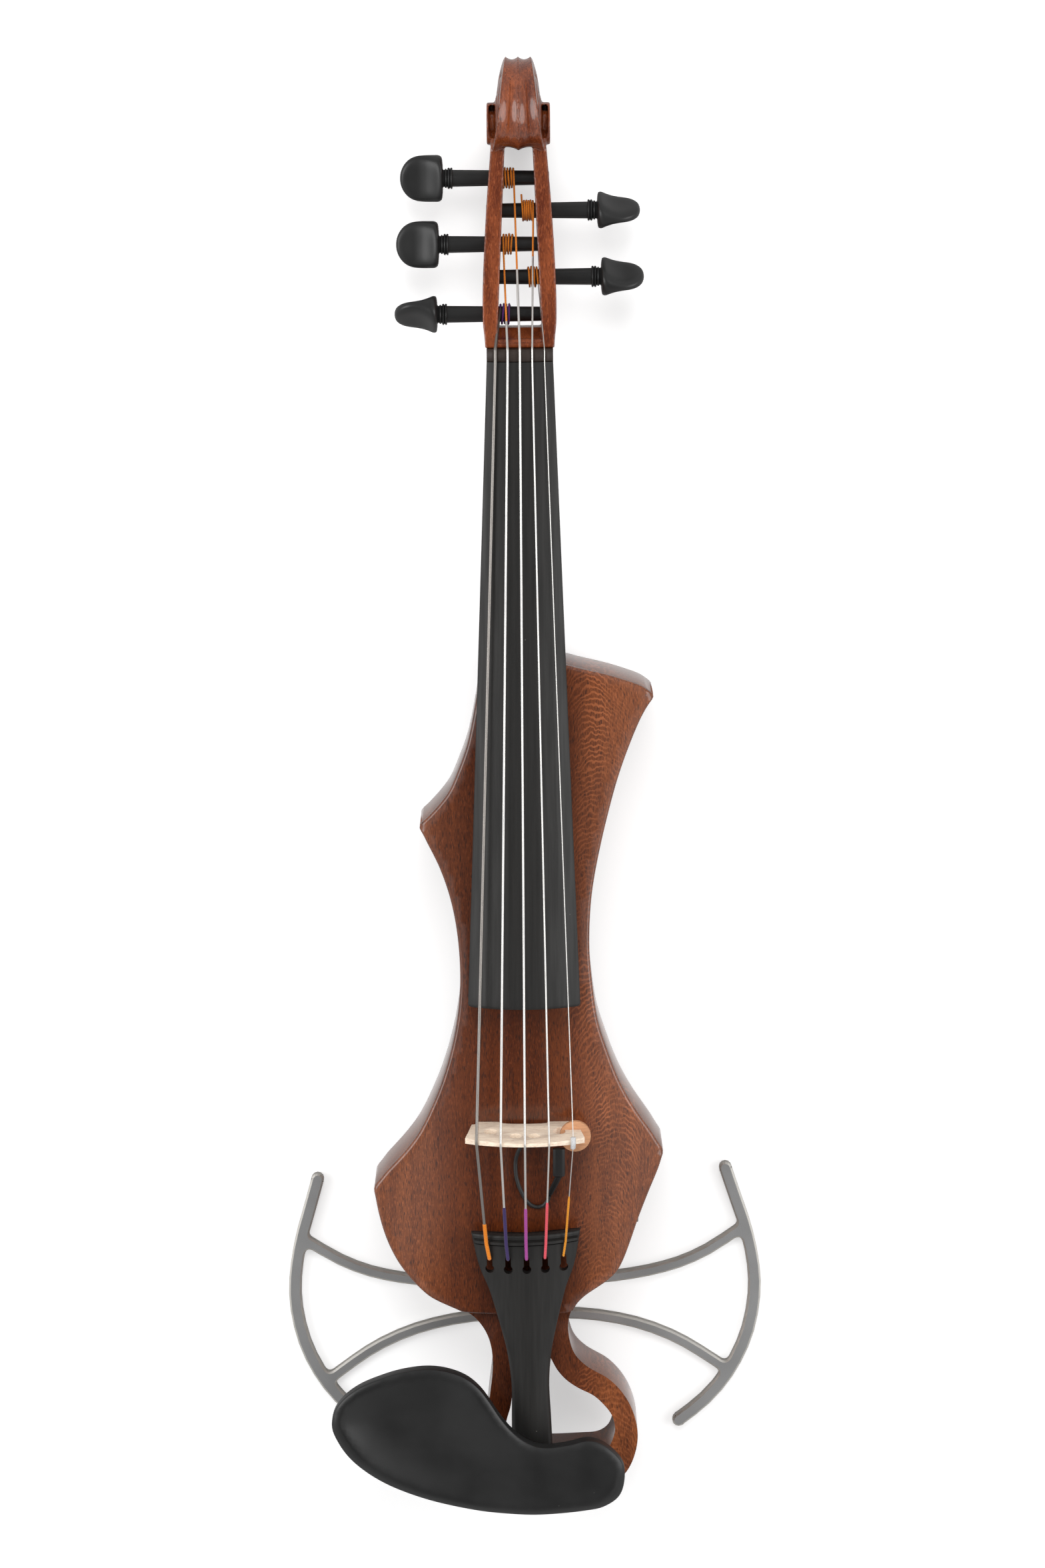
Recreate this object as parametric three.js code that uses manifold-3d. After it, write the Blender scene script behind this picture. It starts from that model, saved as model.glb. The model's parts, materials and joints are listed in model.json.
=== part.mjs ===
// A five-string electric violin with a lyre-shaped hollow body, lying on its back.
// Millimetres: +X towards the thin strings, +Y towards the scroll, +Z out of the top.
// The origin is the middle of the metal shoulder frame's underside, on which the violin rests.
import * as THREE from "three";
import { mergeVertices } from "three/addons/utils/BufferGeometryUtils.js";
import Module from "manifold-3d";

const wasm = await Module();
wasm.setup();

// General values
const fit = 0.3; // clearance between pieces that touch
const overrun = 4; // how far a cutting solid reaches past what it cuts
const weld = 0.0005; // vertices closer than this are one
const largeSides = 20;
const rodSides = 12;

// Heights of the stack, from the table up
const frameThickness = 5;
const spacerHeight = 7;
const ribHeight = 33;
const plateEdgeThickness = 3;
const archRise = 5;
const plateWall = 3.2;

// Lengths along the instrument
const bodyEndFromHub = 73;
const bodyLength = 362.5;
const bodyWidth = 124;
const bridgeAlongShare = 0.45241; // where the bridge stands along the body
const stringLength = 326;

const backZ = frameThickness + spacerHeight;
const ribTopZ = backZ + ribHeight;
const plateEdgeZ = ribTopZ + plateEdgeThickness;
const bodyEndY = -bodyEndFromHub;
const bodyTopY = bodyEndY + bodyLength;
const bridgeY = bodyEndY + bridgeAlongShare * bodyLength;
const nutFrontY = bridgeY + stringLength;

// Body outline, as shares of half the width and of the length from the tail end.
// Each run is smooth; the runs meet at the two horns and the two lower corners.
const upperTrebleShares = [
  [0.298, 1], [0.435, 0.994], [0.581, 0.988], [0.729, 0.98], [0.831, 0.973], [0.902, 0.963],
];
const trebleWaistShares = [
  [0.902, 0.963], [0.816, 0.938], [0.729, 0.903], [0.653, 0.866], [0.587, 0.825], [0.518, 0.774],
  [0.471, 0.726], [0.455, 0.668], [0.473, 0.623], [0.511, 0.578], [0.574, 0.543], [0.655, 0.506],
  [0.761, 0.472], [0.879, 0.442], [0.961, 0.418],
];
const lowerTrebleShares = [
  [0.961, 0.418], [0.932, 0.4], [0.863, 0.371], [0.782, 0.335], [0.706, 0.297], [0.637, 0.272],
  [0.54, 0.257], [0.427, 0.244], [0.347, 0.23], [0.302, 0.21], [0.302, 0.19], [0.344, 0.166],
  [0.444, 0.149], [0.565, 0.137], [0.666, 0.12], [0.74, 0.098], [0.781, 0.069], [0.766, 0.044],
  [0.702, 0.019], [0.597, 0.004], [0.484, 0],
];
const lowerBassShares = [
  [-0.161, 0], [-0.247, 0.007], [-0.284, 0.025], [-0.281, 0.063], [-0.258, 0.108], [-0.231, 0.146],
  [-0.239, 0.175], [-0.284, 0.197], [-0.387, 0.218], [-0.524, 0.23], [-0.661, 0.242], [-0.792, 0.264],
  [-0.892, 0.288], [-0.968, 0.317], [-1.019, 0.35], [-1.042, 0.375],
];
const bassWaistShares = [
  [-1.042, 0.375], [-0.96, 0.394], [-0.844, 0.416], [-0.734, 0.441], [-0.637, 0.474], [-0.558, 0.508],
  [-0.484, 0.553], [-0.442, 0.596], [-0.431, 0.637], [-0.45, 0.685], [-0.497, 0.727], [-0.571, 0.764],
  [-0.645, 0.79], [-0.703, 0.811],
];
const upperBassShares = [
  [-0.703, 0.811], [-0.597, 0.83], [-0.5, 0.851], [-0.432, 0.877], [-0.371, 0.906], [-0.326, 0.941],
  [-0.294, 0.972], [-0.266, 1],
];
// The opening between the arms of the lyre, in the same shares
const lyreOpeningShares = [
  [0.137, 0.17], [0.173, 0.162], [0.215, 0.148], [0.284, 0.134], [0.377, 0.123], [0.469, 0.115],
  [0.539, 0.104], [0.6, 0.09], [0.623, 0.073], [0.608, 0.061], [0.581, 0.051], [0.516, 0.0433],
  [0.419, 0.0414], [-0.04, 0.0414], [-0.13, 0.048], [-0.15, 0.063], [-0.134, 0.086], [-0.108, 0.101],
  [-0.087, 0.132], [-0.073, 0.157], [-0.016, 0.172], [0.065, 0.175],
];
const outlineStepsPerPoint = 2;
const hollowThinning = 2; // the hollow follows every second point of the outline
const frameStepsPerPoint = 1.5;
const sharpestLeanShare = 0.5; // how far a wall may lean at a sharp corner of its outline

// Hollow of the body and the plate that closes it
const ribWall = 5;
const backWall = 4;
const hollowEndShare = 0.2455; // where the hollow starts along the body
const neckBlockLength = 27;
const plateEndShare = 0.22345; // where the plate starts along the body
// How the arch fades towards the ends: share of the plate's length, share of the rise
const archFadeShares = [[0, 0.5], [0.1, 0.82], [0.2, 1], [0.42, 1], [0.75, 0.75], [1, 0.5]];
const archSegments = 12;
const bassBarWidth = 5;
const bassBarDepth = 8;
const bassBarStartShare = 0.30345; // where it starts and ends along the body
const bassBarEndShare = 0.77241;
const bassBarX = -14;
const postDiameter = 6;
const postX = 14;
const postBehindBridge = 7;

// Frame that stands on the table
const frameHalfWidth = 101.2;
const frameArcWidth = 5.5;
const frameBarWidth = 4.4;
const frameTurn = THREE.MathUtils.degToRad(1.3);
const frameScrewSpacing = 18;
const frameHubLength = 18;
const frameHubWidth = 33;
const frameHubOffset = 0.8;
// Middle lines of the right half, as shares of the half width
const frameArcShares = [
  [0.884, 0.565], [0.922, 0.44], [0.963, 0.306], [0.988, 0.188], [1, 0.069], [0.992, -0.049],
  [0.962, -0.178], [0.912, -0.292], [0.845, -0.395], [0.756, -0.489], [0.655, -0.566],
];
const frameUpperBarShares = [
  [0, 0.079], [0.296, 0.085], [0.445, 0.098], [0.573, 0.119], [0.692, 0.152], [0.81, 0.206], [0.955, 0.3],
];
const frameLowerBarShares = [
  [0, -0.065], [0.217, -0.071], [0.375, -0.094], [0.514, -0.132], [0.652, -0.193], [0.761, -0.262],
  [0.885, -0.352],
];
const spacerDiameter = 10;
const screwDiameter = 4;
const screwHeadDiameter = 8;
const screwHeadHeight = 2.2;
const screwRecess = 0.6;
const screwBite = 13;
const screwSlotWidth = 1.2;
const screwSlotDepth = 0.9;

// Fingerboard, nut and neck
const boardLength = 270;
const boardWidthAtNut = 27.6;
const boardWidthAtEnd = 47.4;
const boardRadius = 42;
const boardEdgeThickness = 4.8;
const boardRiseHeight = 27; // board surface's line above the crown of the top, at the bridge
const boardSlopeShare = 0.08;
const nutLength = 5.4;
const nutStandsProud = 0.4;
const neckDepthAtNut = 11.2;
const neckDepthAtHeel = 12.2;
const neckInset = 0.25;
const heelWidth = 33;
const heelFootWidth = 24;
const heelFootZ = 15;
const heelReach = 24;
const neckSides = 12;
const boardSections = 4;
// Heel sections: share of its reach from the body, share of the way from the neck to the heel's foot
const heelShares = [[1, 0], [0.6, 0.08], [0.35, 0.25], [0.18, 0.52], [0.07, 0.8], [0, 1]];
const roundBackPower = 0.75;
const heelPower = 0.4;

// Pegbox: side profile heights and widths
const pegboxLength = 82.8;
const pegboxTopDrop = 5.9; // below the nut's top, where the cheeks begin
const pegboxTopSlopeShare = 0.2;
const pegboxDepthAtNut = 28.5;
const pegboxDepthAtThroat = 25;
const pegboxWidthAtNut = 28.8;
const pegboxWidestWidth = 30.6;
const pegboxThroatWidth = 23;
// Share of the pegbox's length, share of its widening from the throat
const pegboxWidthShares = [[0.14, 1], [0.27, 1], [0.48, 0.82], [0.73, 0.487], [0.92, 0.154], [1, 0]];
const pegboxEndShare = 0.84; // its width at the eye, as a share of the throat's
// Where the chin behind the nut starts and ends along the pegbox, and its bend, as shares of its depth
const chinStartShare = 0.06;
const chinEndShare = 0.2;
const chinLowShare = 0.18;
const chinHighShare = 0.62;
const slotWidthAtNut = 18.3;
const slotWidthAtThroat = 11.6;
const slotStart = 7.6;
const slotRampStart = 2;
const slotRampDepth = 14;
const slotRelief = 1.5;
const slotReliefLength = 22;
const slotReliefDepth = 10;

// Scroll: radii round the eye and half widths, quarter turn by eighth of a turn
const scrollRadius = 27.6;
const scrollHalfWidth = 13.2;
const eyeBeyondThroat = 8.8;
const outerTurnShares = [
  [0.906, 0.74], [0.95, 0.64], [1, 0.43], [0.9, 0.53], [0.76, 0.68], [0.56, 0.8], [0.42, 0.84], [0.39, 0.8],
];
const innerTurnShares = [
  [0.38, 0.78], [0.37, 0.8], [0.36, 0.8], [0.34, 0.84], [0.31, 0.88], [0.29, 0.91], [0.27, 0.94],
  [0.25, 0.97],
];
const eyeRadius = 6.4;
const eyeBackShare = 0.2; // the pegbox's last corner behind and below the eye, in scroll radii
const eyeUnderShare = 0.86;
const turnSteps = 4;

// Strings, thick to thin
const stringNames = ["c", "g", "d", "a", "e"];
const stringDiameters = [1.3, 1.05, 1, 0.8, 0.4];
const wrapDiameters = [1.7, 1.5, 1.4, 1.2, 1];
const bridgeStringSpacing = 10.2;
const nutStringSpacing = 5.1;
const stringSides = 6;
const ballDiameter = 3.4;
const ridgeSpreadShare = 0.25; // how much of their spread to the bridge the strings take up by the ridge
const wrapLiftShare = 0.7; // how high a string bends over the tailpiece's edge, in wrap diameters
// Where the silk ends and the bare string starts, between the tailpiece's ridge and the bridge
const wrapEndShares = [0.2, 0.38, 0.37, 0.42, 0.46];
const wrapStepShare = 0.02;
const bridgeX = 0.3;
const nutX = 0.4;

// Pegs in the order of the strings: place along the pegbox, side of the head, turn of the head in degrees
const pegAlongShares = [0.157005, 0.503623, 0.832126, 0.67029, 0.34058]; // of the pegbox
const pegSideSigns = [-1, -1, -1, 1, 1];
const pegHeadTurns = [52, 4, 12, 50, 48];
const pegAxisDepth = 14.2; // below the top of the pegbox cheeks
const pegTipDiameter = 5.8;
const pegNeckDiameter = 7.1;
const pegCollarDiameter = 10.2;
const pegCollarLength = 4;
const pegShankShows = 15;
const pegHeadLength = 18;
const pegHeadWidth = 19.4;
const pegHeadThickness = 8.4;
// Shares of the collar's length and diameter
const pegCollarShares = [[0, 0.68], [0.1, 1], [0.35, 1], [0.5, 0.8], [0.65, 0.94], [0.85, 0.94], [1, 0.64]];
// Shares of the head's length, width and thickness, from the collar out
const pegHeadShares = [
  [0, 0.46, 0.74], [0.05, 0.84, 0.8], [0.14, 0.98, 0.8], [0.36, 0.97, 0.72], [0.6, 0.88, 0.76],
  [0.8, 0.7, 0.9], [0.93, 0.43, 0.8], [1, 0.15, 0.3],
];
const pegHeadDishShare = 0.3;
const pegHeadPower = 0.8;
const pegHeadSinkShare = 0.1; // how far the head starts inside the collar
const windingDiameter = 0.75;
const windingPitch = 1.2;
const windingLoops = [3, 3, 3, 4, 3];
// Where each string comes in, of the slot's half width
const windingStartShares = [-0.90915, -0.87801, -0.32714, 0.85517, 0.8989];
const windingGrowSigns = [1, 1, -1, -1, -1];
const loopSteps = 24;
const loopSides = 6;

// Bridge and what is fixed to it
const bridgeHeight = 32;
const bridgeTopRadius = 42;
const bridgeFootThickness = 4.5;
const bridgeTopThickness = 1.5;
const bridgeFootSpan = 41;
const bridgeFootLength = 10.3;
const bridgeFootHeight = 2.2;
const bridgeArchHeight = 3.6;
const bridgeArchPower = 0.4;
const bridgeWaistX = 13.6;
const bridgeSlotZ = 9;
const bridgeTopWidth = 50.4;
const heartWidth = 5.2;
const heartHeight = 6.8;
const heartX = 3.9;
const heartZ = 20.8;
const archSteps = 8;
// Treble side from the foot up to the top corner, as shares of half the top width and of the height
const bridgeHalfShares = [
  [0.813, 0.1], [0.845, 0.125], [0.898, 0.135], [0.925, 0.3], [0.958, 0.5], [0.985, 0.64],
];
const kidneyWidth = 5.7;
const kidneyHeight = 8;
const kidneyX = 14.6;
const kidneyZ = 14.4;
const discDiameter = 13.3;
const discThickness = 2.8;
const discX = 21.7;
const discBehindBridge = 1.4;
const connectorWidth = 5.4;
const connectorHeight = 4;
const connectorLength = 13;
const connectorX = 14.7;
const connectorDrop = 3.8;
const connectorSides = 8;
const connectorCornerPower = 0.6;
const connectorEndShares = [0.6, 0.8]; // width and height where its strain relief starts
const reliefTipDiameter = 2.6;
const reliefLength = 9.34;
const sleeveDiameter = 2.2;
const sleeveBore = 1;
const sleeveLength = 5.1;

// Pickup cable: its route over the top, chosen by hand, and the hole that it enters
const cableDiameter = 1.7;
const cableRoute = [
  [10.6, 61.2, 1.5], [9.6, 58.5, 0.6], [7.9, 56.5, 0.2], [5.4, 55.8, 0], [2.9, 56.6, 0], [0.7, 58.8, 0],
  [-1, 61.8, 0], [-2.4, 65.2, 0], [-3.4, 68.9, 0], [-3.8, 72.6, 0], [-3.7, 76.2, 0.2], [-3, 79.6, 1.4],
  [-1.9, 82.4, 2.6], [-0.8, 84.4, 2.6], [0, 85.7, 1.4], [0.3, 86.3, -0.6], [0.3, 86.4, -3],
]; // X, Y and height above its resting height
const cableSteps = 28;
const cableSides = 8;
const grommetX = 0.3;
const grommetBehindBridge = 4.6;
const grommetY = bridgeY - grommetBehindBridge;
const grommetFlangeDiameter = 6;
const grommetFlangeHeight = 0.9;
const grommetSleeveDiameter = 4;

// Output jack in the treble side of the lower bout
const jackAlongShare = 0.3393; // where it sits along the body
const jackRise = 16; // its axis above the back
const jackZ = backZ + jackRise;
const jackSeatDepth = 2; // how far its seat is sunk below the rib's outside
const jackBarrelDiameter = 11.4;
const jackBarrelLength = 24;
const jackBore = 6.5;
const jackFlangeDiameter = 16;
const jackFlangeThickness = 1.8;
const jackBlockThickness = 10;
const jackBlockLength = 24;
const jackNutThickness = 3;
const leadDiameter = 1.7;
// From the grommet to the jack: shares of the way across and along, and of the hollow's height
const leadShares = [
  [0, 0, 0.948], [0.034, 0.061, 0.69], [0.228, 0.227, 0.345], [0.471, 0.503, 0.121], [0.714, 0.779, 0.052],
  [0.908, 0.931, 0.155], [0.995, 0.989, 0.328],
];
const leadSteps = 18;

// Tailpiece, hung on its gut
const afterLength = 44; // of the strings, from the bridge to the tailpiece
const tailTopWidth = 46.6;
const tailTurn = THREE.MathUtils.degToRad(1.3);
const tailFootFromEnd = 10;
const tailTopRise = 16.5; // top of its ridge above the body's crown
const tailFootRise = 7.5; // its foot above the saddle
const tailThickness = 4.6;
const tailRadius = 42;
const tailFootThickness = 7;
const tailTopY = bridgeY - afterLength;
const tailLength = tailTopY - bodyEndY - tailFootFromEnd;
// Width along the tailpiece: share of the length from the wide end, share of the wide end's width
const tailWidthShares = [
  [0, 1], [0.13, 0.88], [0.235, 0.7], [0.4, 0.5], [0.5, 0.405], [0.62, 0.35], [0.78, 0.365], [0.92, 0.375],
  [1, 0.36],
];
const tailArcPoints = 8;
const ridgeFromTop = 3.4;
const ridgeWidth = 1.6;
const ridgeHeight = 1.3;
const keyholeFromTop = 15.4;
const keyholeDiameter = 3.8;
const keyholeSlitWidth = 2.4;
const keyholeSlitLength = 6;
const keyholeSpacing = 7.9;
const tailX = 0.4;

// Tail gut, its saddle and the end button
const gutDiameter = 1.8;
const gutSpacing = 8;
const saddleWidth = 30;
const saddleLength = 7;
const saddleHeight = 4;
const buttonNeckDiameter = 8;
const buttonHeadDiameter = 14;
const buttonHeadLength = 5;
const buttonNeckLength = 4;
const buttonShankDiameter = 7;
const buttonShankLength = 11;
// Shares of the button head's length and diameter
const buttonHeadShares = [[0, 0.9], [0.25, 1], [0.7, 0.95], [1, 0.6]];
const buttonRise = 16; // its axis above the back
const buttonZ = backZ + buttonRise;
const tailCentreX = 2.6;
const gutLoopSteps = 8;

// Chinrest and its clamp
const chinrestRise = 26; // its top above the ribs
const chinrestTopZ = ribTopZ + chinrestRise;
const chinrestThickness = 9;
const chinrestWidth = 126;
const chinrestDepth = 66;
const chinrestOverhang = 4.1;
const chinrestBassX = -83.7;
const chinrestBevel = 3;
// Outline from its treble end round the tail side, as shares of its width and depth
const chinrestOutlineShares = [
  [1, 0.28], [0.983, 0.13], [0.925, 0.05], [0.87, 0.028], [0.777, 0.008], [0.686, 0], [0.596, 0.01],
  [0.505, 0.03], [0.369, 0.086], [0.279, 0.14], [0.188, 0.215], [0.12, 0.296], [0.065, 0.388], [0.028, 0.486],
  [0.004, 0.6], [0.012, 0.712], [0.045, 0.802], [0.1, 0.88], [0.17, 0.937], [0.238, 0.977], [0.328, 1],
  [0.396, 0.985], [0.463, 0.935], [0.508, 0.862], [0.542, 0.773], [0.575, 0.673], [0.61, 0.588],
  [0.643, 0.529], [0.688, 0.479], [0.733, 0.464], [0.778, 0.473], [0.824, 0.489], [0.87, 0.512],
  [0.914, 0.494], [0.963, 0.428], [0.993, 0.353],
];
const dishX = -43;
const dishFromEnd = 31;
const dishRadiusX = 35;
const dishRadiusY = 25;
const dishDepth = 5.6;
const clampSpacing = 32;
const legWidth = 9;
const legLength = 6;
const legFromEnd = 13.5;
const legFrontY = bodyEndY + legFromEnd;
const legSpacing = 30;
const corkThickness = 2;
const clampStripThickness = 2.2;
const clampRodDiameter = 2.4;
const clampFromEnd = 3;
const clampEdge = 0.2;
const clampReach = 12;
const barrelDiameter = 5;
const barrelLength = 20;
const barrelBore = 3;
const barrelBevel = 0.45;
const barrelBaseZ = 27;
const barrelPinBore = 1.6;
const rodEngagement = 6.5;
const footPlateThickness = 2.2;

// Colours and finishes
function finish(color, roughness, metalness = 0) {
  return new THREE.MeshStandardMaterial({ color, roughness, metalness });
}
const stainedMahogany = finish("#7a452c", 0.45);
const polishedMahogany = finish("#7a3a1e", 0.3);
const spruce = finish("#c9a26a", 0.7);
const ebony = finish("#2c2b29", 0.5);
const blackRosewood = finish("#3a302b", 0.5);
const palePlane = finish("#e3c49a", 0.6);
const discWood = finish("#c58e68", 0.6);
const blackPlastic = finish("#1c1c1c", 0.4);
const clearVinyl = finish("#d8d8d6", 0.25);
const cableRubber = finish("#222222", 0.6);
const anodised = finish("#8d8b87", 0.35, 1);
const steel = finish("#c8c8c6", 0.3, 1);
const nickel = finish("#b9b6ae", 0.25, 1);
const stringSteel = finish("#d0d0d0", 0.3, 1);
const cork = finish("#b98f5f", 0.9);
const orangeSilk = finish("#d9791c", 0.7);
const violetSilk = finish("#5e2f7a", 0.7);
const gutNylon = finish("#1f1f1f", 0.4);

// A closed mesh as a solid to join or cut, and back again
function toSolid(geometry) {
  const bare = geometry.index ? geometry.toNonIndexed() : geometry.clone();
  for (const name of Object.keys(bare.attributes)) {
    if (name !== "position") bare.deleteAttribute(name);
  }
  const merged = mergeVertices(bare, weld);
  return new wasm.Manifold(
    new wasm.Mesh({
      numProp: 3,
      vertProperties: merged.attributes.position.array,
      triVerts: new Uint32Array(merged.index.array),
    }),
  );
}

function toGeometry(solid) {
  const mesh = solid.getMesh();
  return new THREE.BufferGeometry()
    .setAttribute("position", new THREE.BufferAttribute(new Float32Array(mesh.vertProperties), 3))
    .setIndex(new THREE.BufferAttribute(new Uint32Array(mesh.triVerts), 1));
}

function join(...pieces) {
  return toGeometry(pieces.map(toSolid).reduce((whole, piece) => whole.add(piece)));
}

function cut(whole, ...tools) {
  return toGeometry(tools.map(toSolid).reduce((left, tool) => left.subtract(tool), toSolid(whole)));
}

function common(...pieces) {
  return toGeometry(pieces.map(toSolid).reduce((shared, piece) => shared.intersect(piece)));
}

// Basic solids
function box(x0, x1, y0, y1, z0, z1) {
  return new THREE.BoxGeometry(x1 - x0, y1 - y0, z1 - z0)
    .translate((x0 + x1) / 2, (y0 + y1) / 2, (z0 + z1) / 2);
}

function extruded(points, depth) {
  const shape = new THREE.Shape(points.map(([x, y]) => new THREE.Vector2(x, y)));
  return new THREE.ExtrudeGeometry(shape, { depth, bevelEnabled: false, steps: 1 });
}

// An outline in X and Y, raised from one height to another
function upright(points, z0, z1) {
  return extruded(points, z1 - z0).translate(0, 0, z0);
}

// An outline in Y and Z, drawn out along X
function sideways(points, x0, x1) {
  const turn = new THREE.Matrix4().set(0, 0, 1, 0, 1, 0, 0, 0, 0, 1, 0, 0, 0, 0, 0, 1);
  return extruded(points, x1 - x0).applyMatrix4(turn).translate(x0, 0, 0);
}

// An outline in X and Z, drawn out along Y
function lengthways(points, y0, y1) {
  return extruded(points, y1 - y0).rotateX(Math.PI / 2).translate(0, y1, 0);
}

// A profile of [radius, height] turned round a line from a point along a direction
function turned(profile, origin, direction, segments = rodSides) {
  const lathe = new THREE.LatheGeometry(profile.map(([r, h]) => new THREE.Vector2(r, h)), segments);
  const aim = new THREE.Quaternion().setFromUnitVectors(new THREE.Vector3(0, 1, 0), direction);
  return facingOut(lathe.applyQuaternion(aim).translate(origin.x, origin.y, origin.z));
}

// Turns a closed mesh's faces round when they point inwards
function facingOut(geometry) {
  const bare = geometry.clone();
  for (const name of Object.keys(bare.attributes)) {
    if (name !== "position") bare.deleteAttribute(name);
  }
  const merged = mergeVertices(bare, weld);
  const position = merged.attributes.position;
  const index = merged.index.array;
  const [a, b, c] = [new THREE.Vector3(), new THREE.Vector3(), new THREE.Vector3()];
  let volume = 0;
  for (let i = 0; i < index.length; i += 3) {
    a.fromBufferAttribute(position, index[i]);
    b.fromBufferAttribute(position, index[i + 1]);
    c.fromBufferAttribute(position, index[i + 2]);
    volume += a.dot(b.cross(c));
  }
  if (volume < 0) {
    for (let i = 0; i < index.length; i += 3) {
      [index[i + 1], index[i + 2]] = [index[i + 2], index[i + 1]];
    }
  }
  return merged;
}

// Rings of equally many points, joined side to side and closed at both ends
function loft(rings) {
  const count = rings[0].length;
  const points = rings.flat();
  const faces = [];
  for (let ring = 0; ring < rings.length - 1; ring += 1) {
    for (let i = 0; i < count; i += 1) {
      const a = ring * count + i;
      const b = ring * count + ((i + 1) % count);
      faces.push(a, b, b + count, a, b + count, a + count);
    }
  }
  for (const [ring, flip] of [[0, true], [rings.length - 1, false]]) {
    const middle = new THREE.Vector3();
    rings[ring].forEach((point) => middle.addScaledVector(point, 1 / count));
    points.push(middle);
    for (let i = 0; i < count; i += 1) {
      const a = ring * count + i;
      const b = ring * count + ((i + 1) % count);
      faces.push(points.length - 1, flip ? b : a, flip ? a : b);
    }
  }
  const geometry = new THREE.BufferGeometry().setFromPoints(points);
  geometry.setIndex(faces);
  return facingOut(geometry);
}

// A round tube through points, one ring at each, of a radius that may change along it
function tube(points, radiusAt, sides) {
  const rings = [];
  let normal = new THREE.Vector3();
  points.forEach((point, i) => {
    const before = points[Math.max(i - 1, 0)];
    const after = points[Math.min(i + 1, points.length - 1)];
    const into = point.clone().sub(before).normalize();
    const out = after.clone().sub(point).normalize();
    const along = into.clone().add(out).normalize();
    if (i === 0) {
      const across = Math.abs(along.x) > Math.abs(along.z) ? [0, 0, 1] : [1, 0, 0];
      normal.set(...across);
    }
    normal = normal.clone().addScaledVector(along, -normal.dot(along)).normalize();
    const side = new THREE.Vector3().crossVectors(along, normal);
    const radius = radiusAt(i);
    const ring = [];
    for (let k = 0; k < sides; k += 1) {
      const angle = (2 * Math.PI * k) / sides;
      ring.push(
        point.clone()
          .addScaledVector(normal, radius * Math.cos(angle))
          .addScaledVector(side, radius * Math.sin(angle)),
      );
    }
    rings.push(ring);
  });
  return loft(rings);
}

function rod(diameter, from, to, sides = rodSides) {
  return tube([from, to], () => diameter / 2, sides);
}

function smooth(points, steps) {
  const knots = points.map(([x, y, z = 0]) => new THREE.Vector3(x, y, z));
  const curve = new THREE.CatmullRomCurve3(knots, false, "centripetal");
  return curve.getPoints(steps);
}

const flat = (point) => [point.x, point.y];
const at = (x, y, z) => new THREE.Vector3(x, y, z);
const alongX = at(1, 0, 0);
const alongZ = at(0, 0, 1);

// Straight-line reading of a table of [share, value]
function readTable(table, share) {
  const last = table.findIndex(([start]) => start >= share);
  if (last === 0) return table[0][1];
  if (last < 0) return table[table.length - 1][1];
  const [s0, v0] = table[last - 1];
  const [s1, v1] = table[last];
  return v0 + ((v1 - v0) * (share - s0)) / (s1 - s0);
}

// A strip of even width along a middle line, with round ends
function strip(middleLine, width) {
  const left = [];
  const right = [];
  middleLine.forEach((point, i) => {
    const before = middleLine[Math.max(i - 1, 0)];
    const after = middleLine[Math.min(i + 1, middleLine.length - 1)];
    const along = after.clone().sub(before).normalize();
    left.push([point.x - (along.y * width) / 2, point.y + (along.x * width) / 2]);
    right.push([point.x + (along.y * width) / 2, point.y - (along.x * width) / 2]);
  });
  return [...left, ...right.reverse()];
}

// Body outline
function bodyPoint([x, y]) {
  return [(x * bodyWidth) / 2, bodyEndY + y * bodyLength];
}

function outlineRun(shares) {
  return smooth(shares.map(bodyPoint), outlineStepsPerPoint * (shares.length - 1)).map(flat).slice(0, -1);
}

const bodyOutline = [
  ...outlineRun(upperTrebleShares),
  ...outlineRun(trebleWaistShares),
  ...outlineRun(lowerTrebleShares),
  bodyPoint(lowerTrebleShares.at(-1)),
  ...outlineRun(lowerBassShares),
  ...outlineRun(bassWaistShares),
  ...outlineRun(upperBassShares),
  bodyPoint(upperBassShares.at(-1)),
];

// The part of the outline between two places along the body, closed straight across
function outlineBetween(low, high, outline = bodyOutline) {
  const crossing = [];
  outline.forEach(([x, y], i) => {
    const [nextX, nextY] = outline[(i + 1) % outline.length];
    if (y >= low && y <= high) crossing.push([x, y]);
    for (const level of [low, high]) {
      if ((y - level) * (nextY - level) < 0) {
        crossing.push([x + ((nextX - x) * (level - y)) / (nextY - y), level]);
      }
    }
  });
  return crossing;
}

// An outline drawn inwards by a wall
function inset(points, wall) {
  const turning = points.reduce((sum, [x, y], i) => {
    const [nextX, nextY] = points[(i + 1) % points.length];
    return sum + x * nextY - nextX * y;
  }, 0);
  const inward = Math.sign(turning);
  return points.map(([x, y], i) => {
    const [px, py] = points[(i + points.length - 1) % points.length];
    const [nx, ny] = points[(i + 1) % points.length];
    const before = new THREE.Vector2(x - px, y - py).normalize();
    const after = new THREE.Vector2(nx - x, ny - y).normalize();
    const across = new THREE.Vector2(-before.y - after.y, before.x + after.x).normalize();
    const lean = Math.max(across.dot(new THREE.Vector2(-after.y, after.x)), sharpestLeanShare) * inward;
    return [x + (across.x * wall) / lean, y + (across.y * wall) / lean];
  });
}

// Where the side lies at a place along the body, on the treble side
function trebleSideAt(y) {
  let side = 0;
  bodyOutline.forEach(([x, here], i) => {
    const [nextX, next] = bodyOutline[(i + 1) % bodyOutline.length];
    if ((here - y) * (next - y) <= 0 && here !== next) {
      side = Math.max(side, x + ((nextX - x) * (y - here)) / (next - here));
    }
  });
  return side;
}

const jackY = bodyEndY + jackAlongShare * bodyLength;
const jackFaceX = trebleSideAt(jackY) - jackSeatDepth;

// Arch of the top
const plateEndY = bodyEndY + plateEndShare * bodyLength;
const plateLength = bodyTopY - plateEndY;

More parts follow.
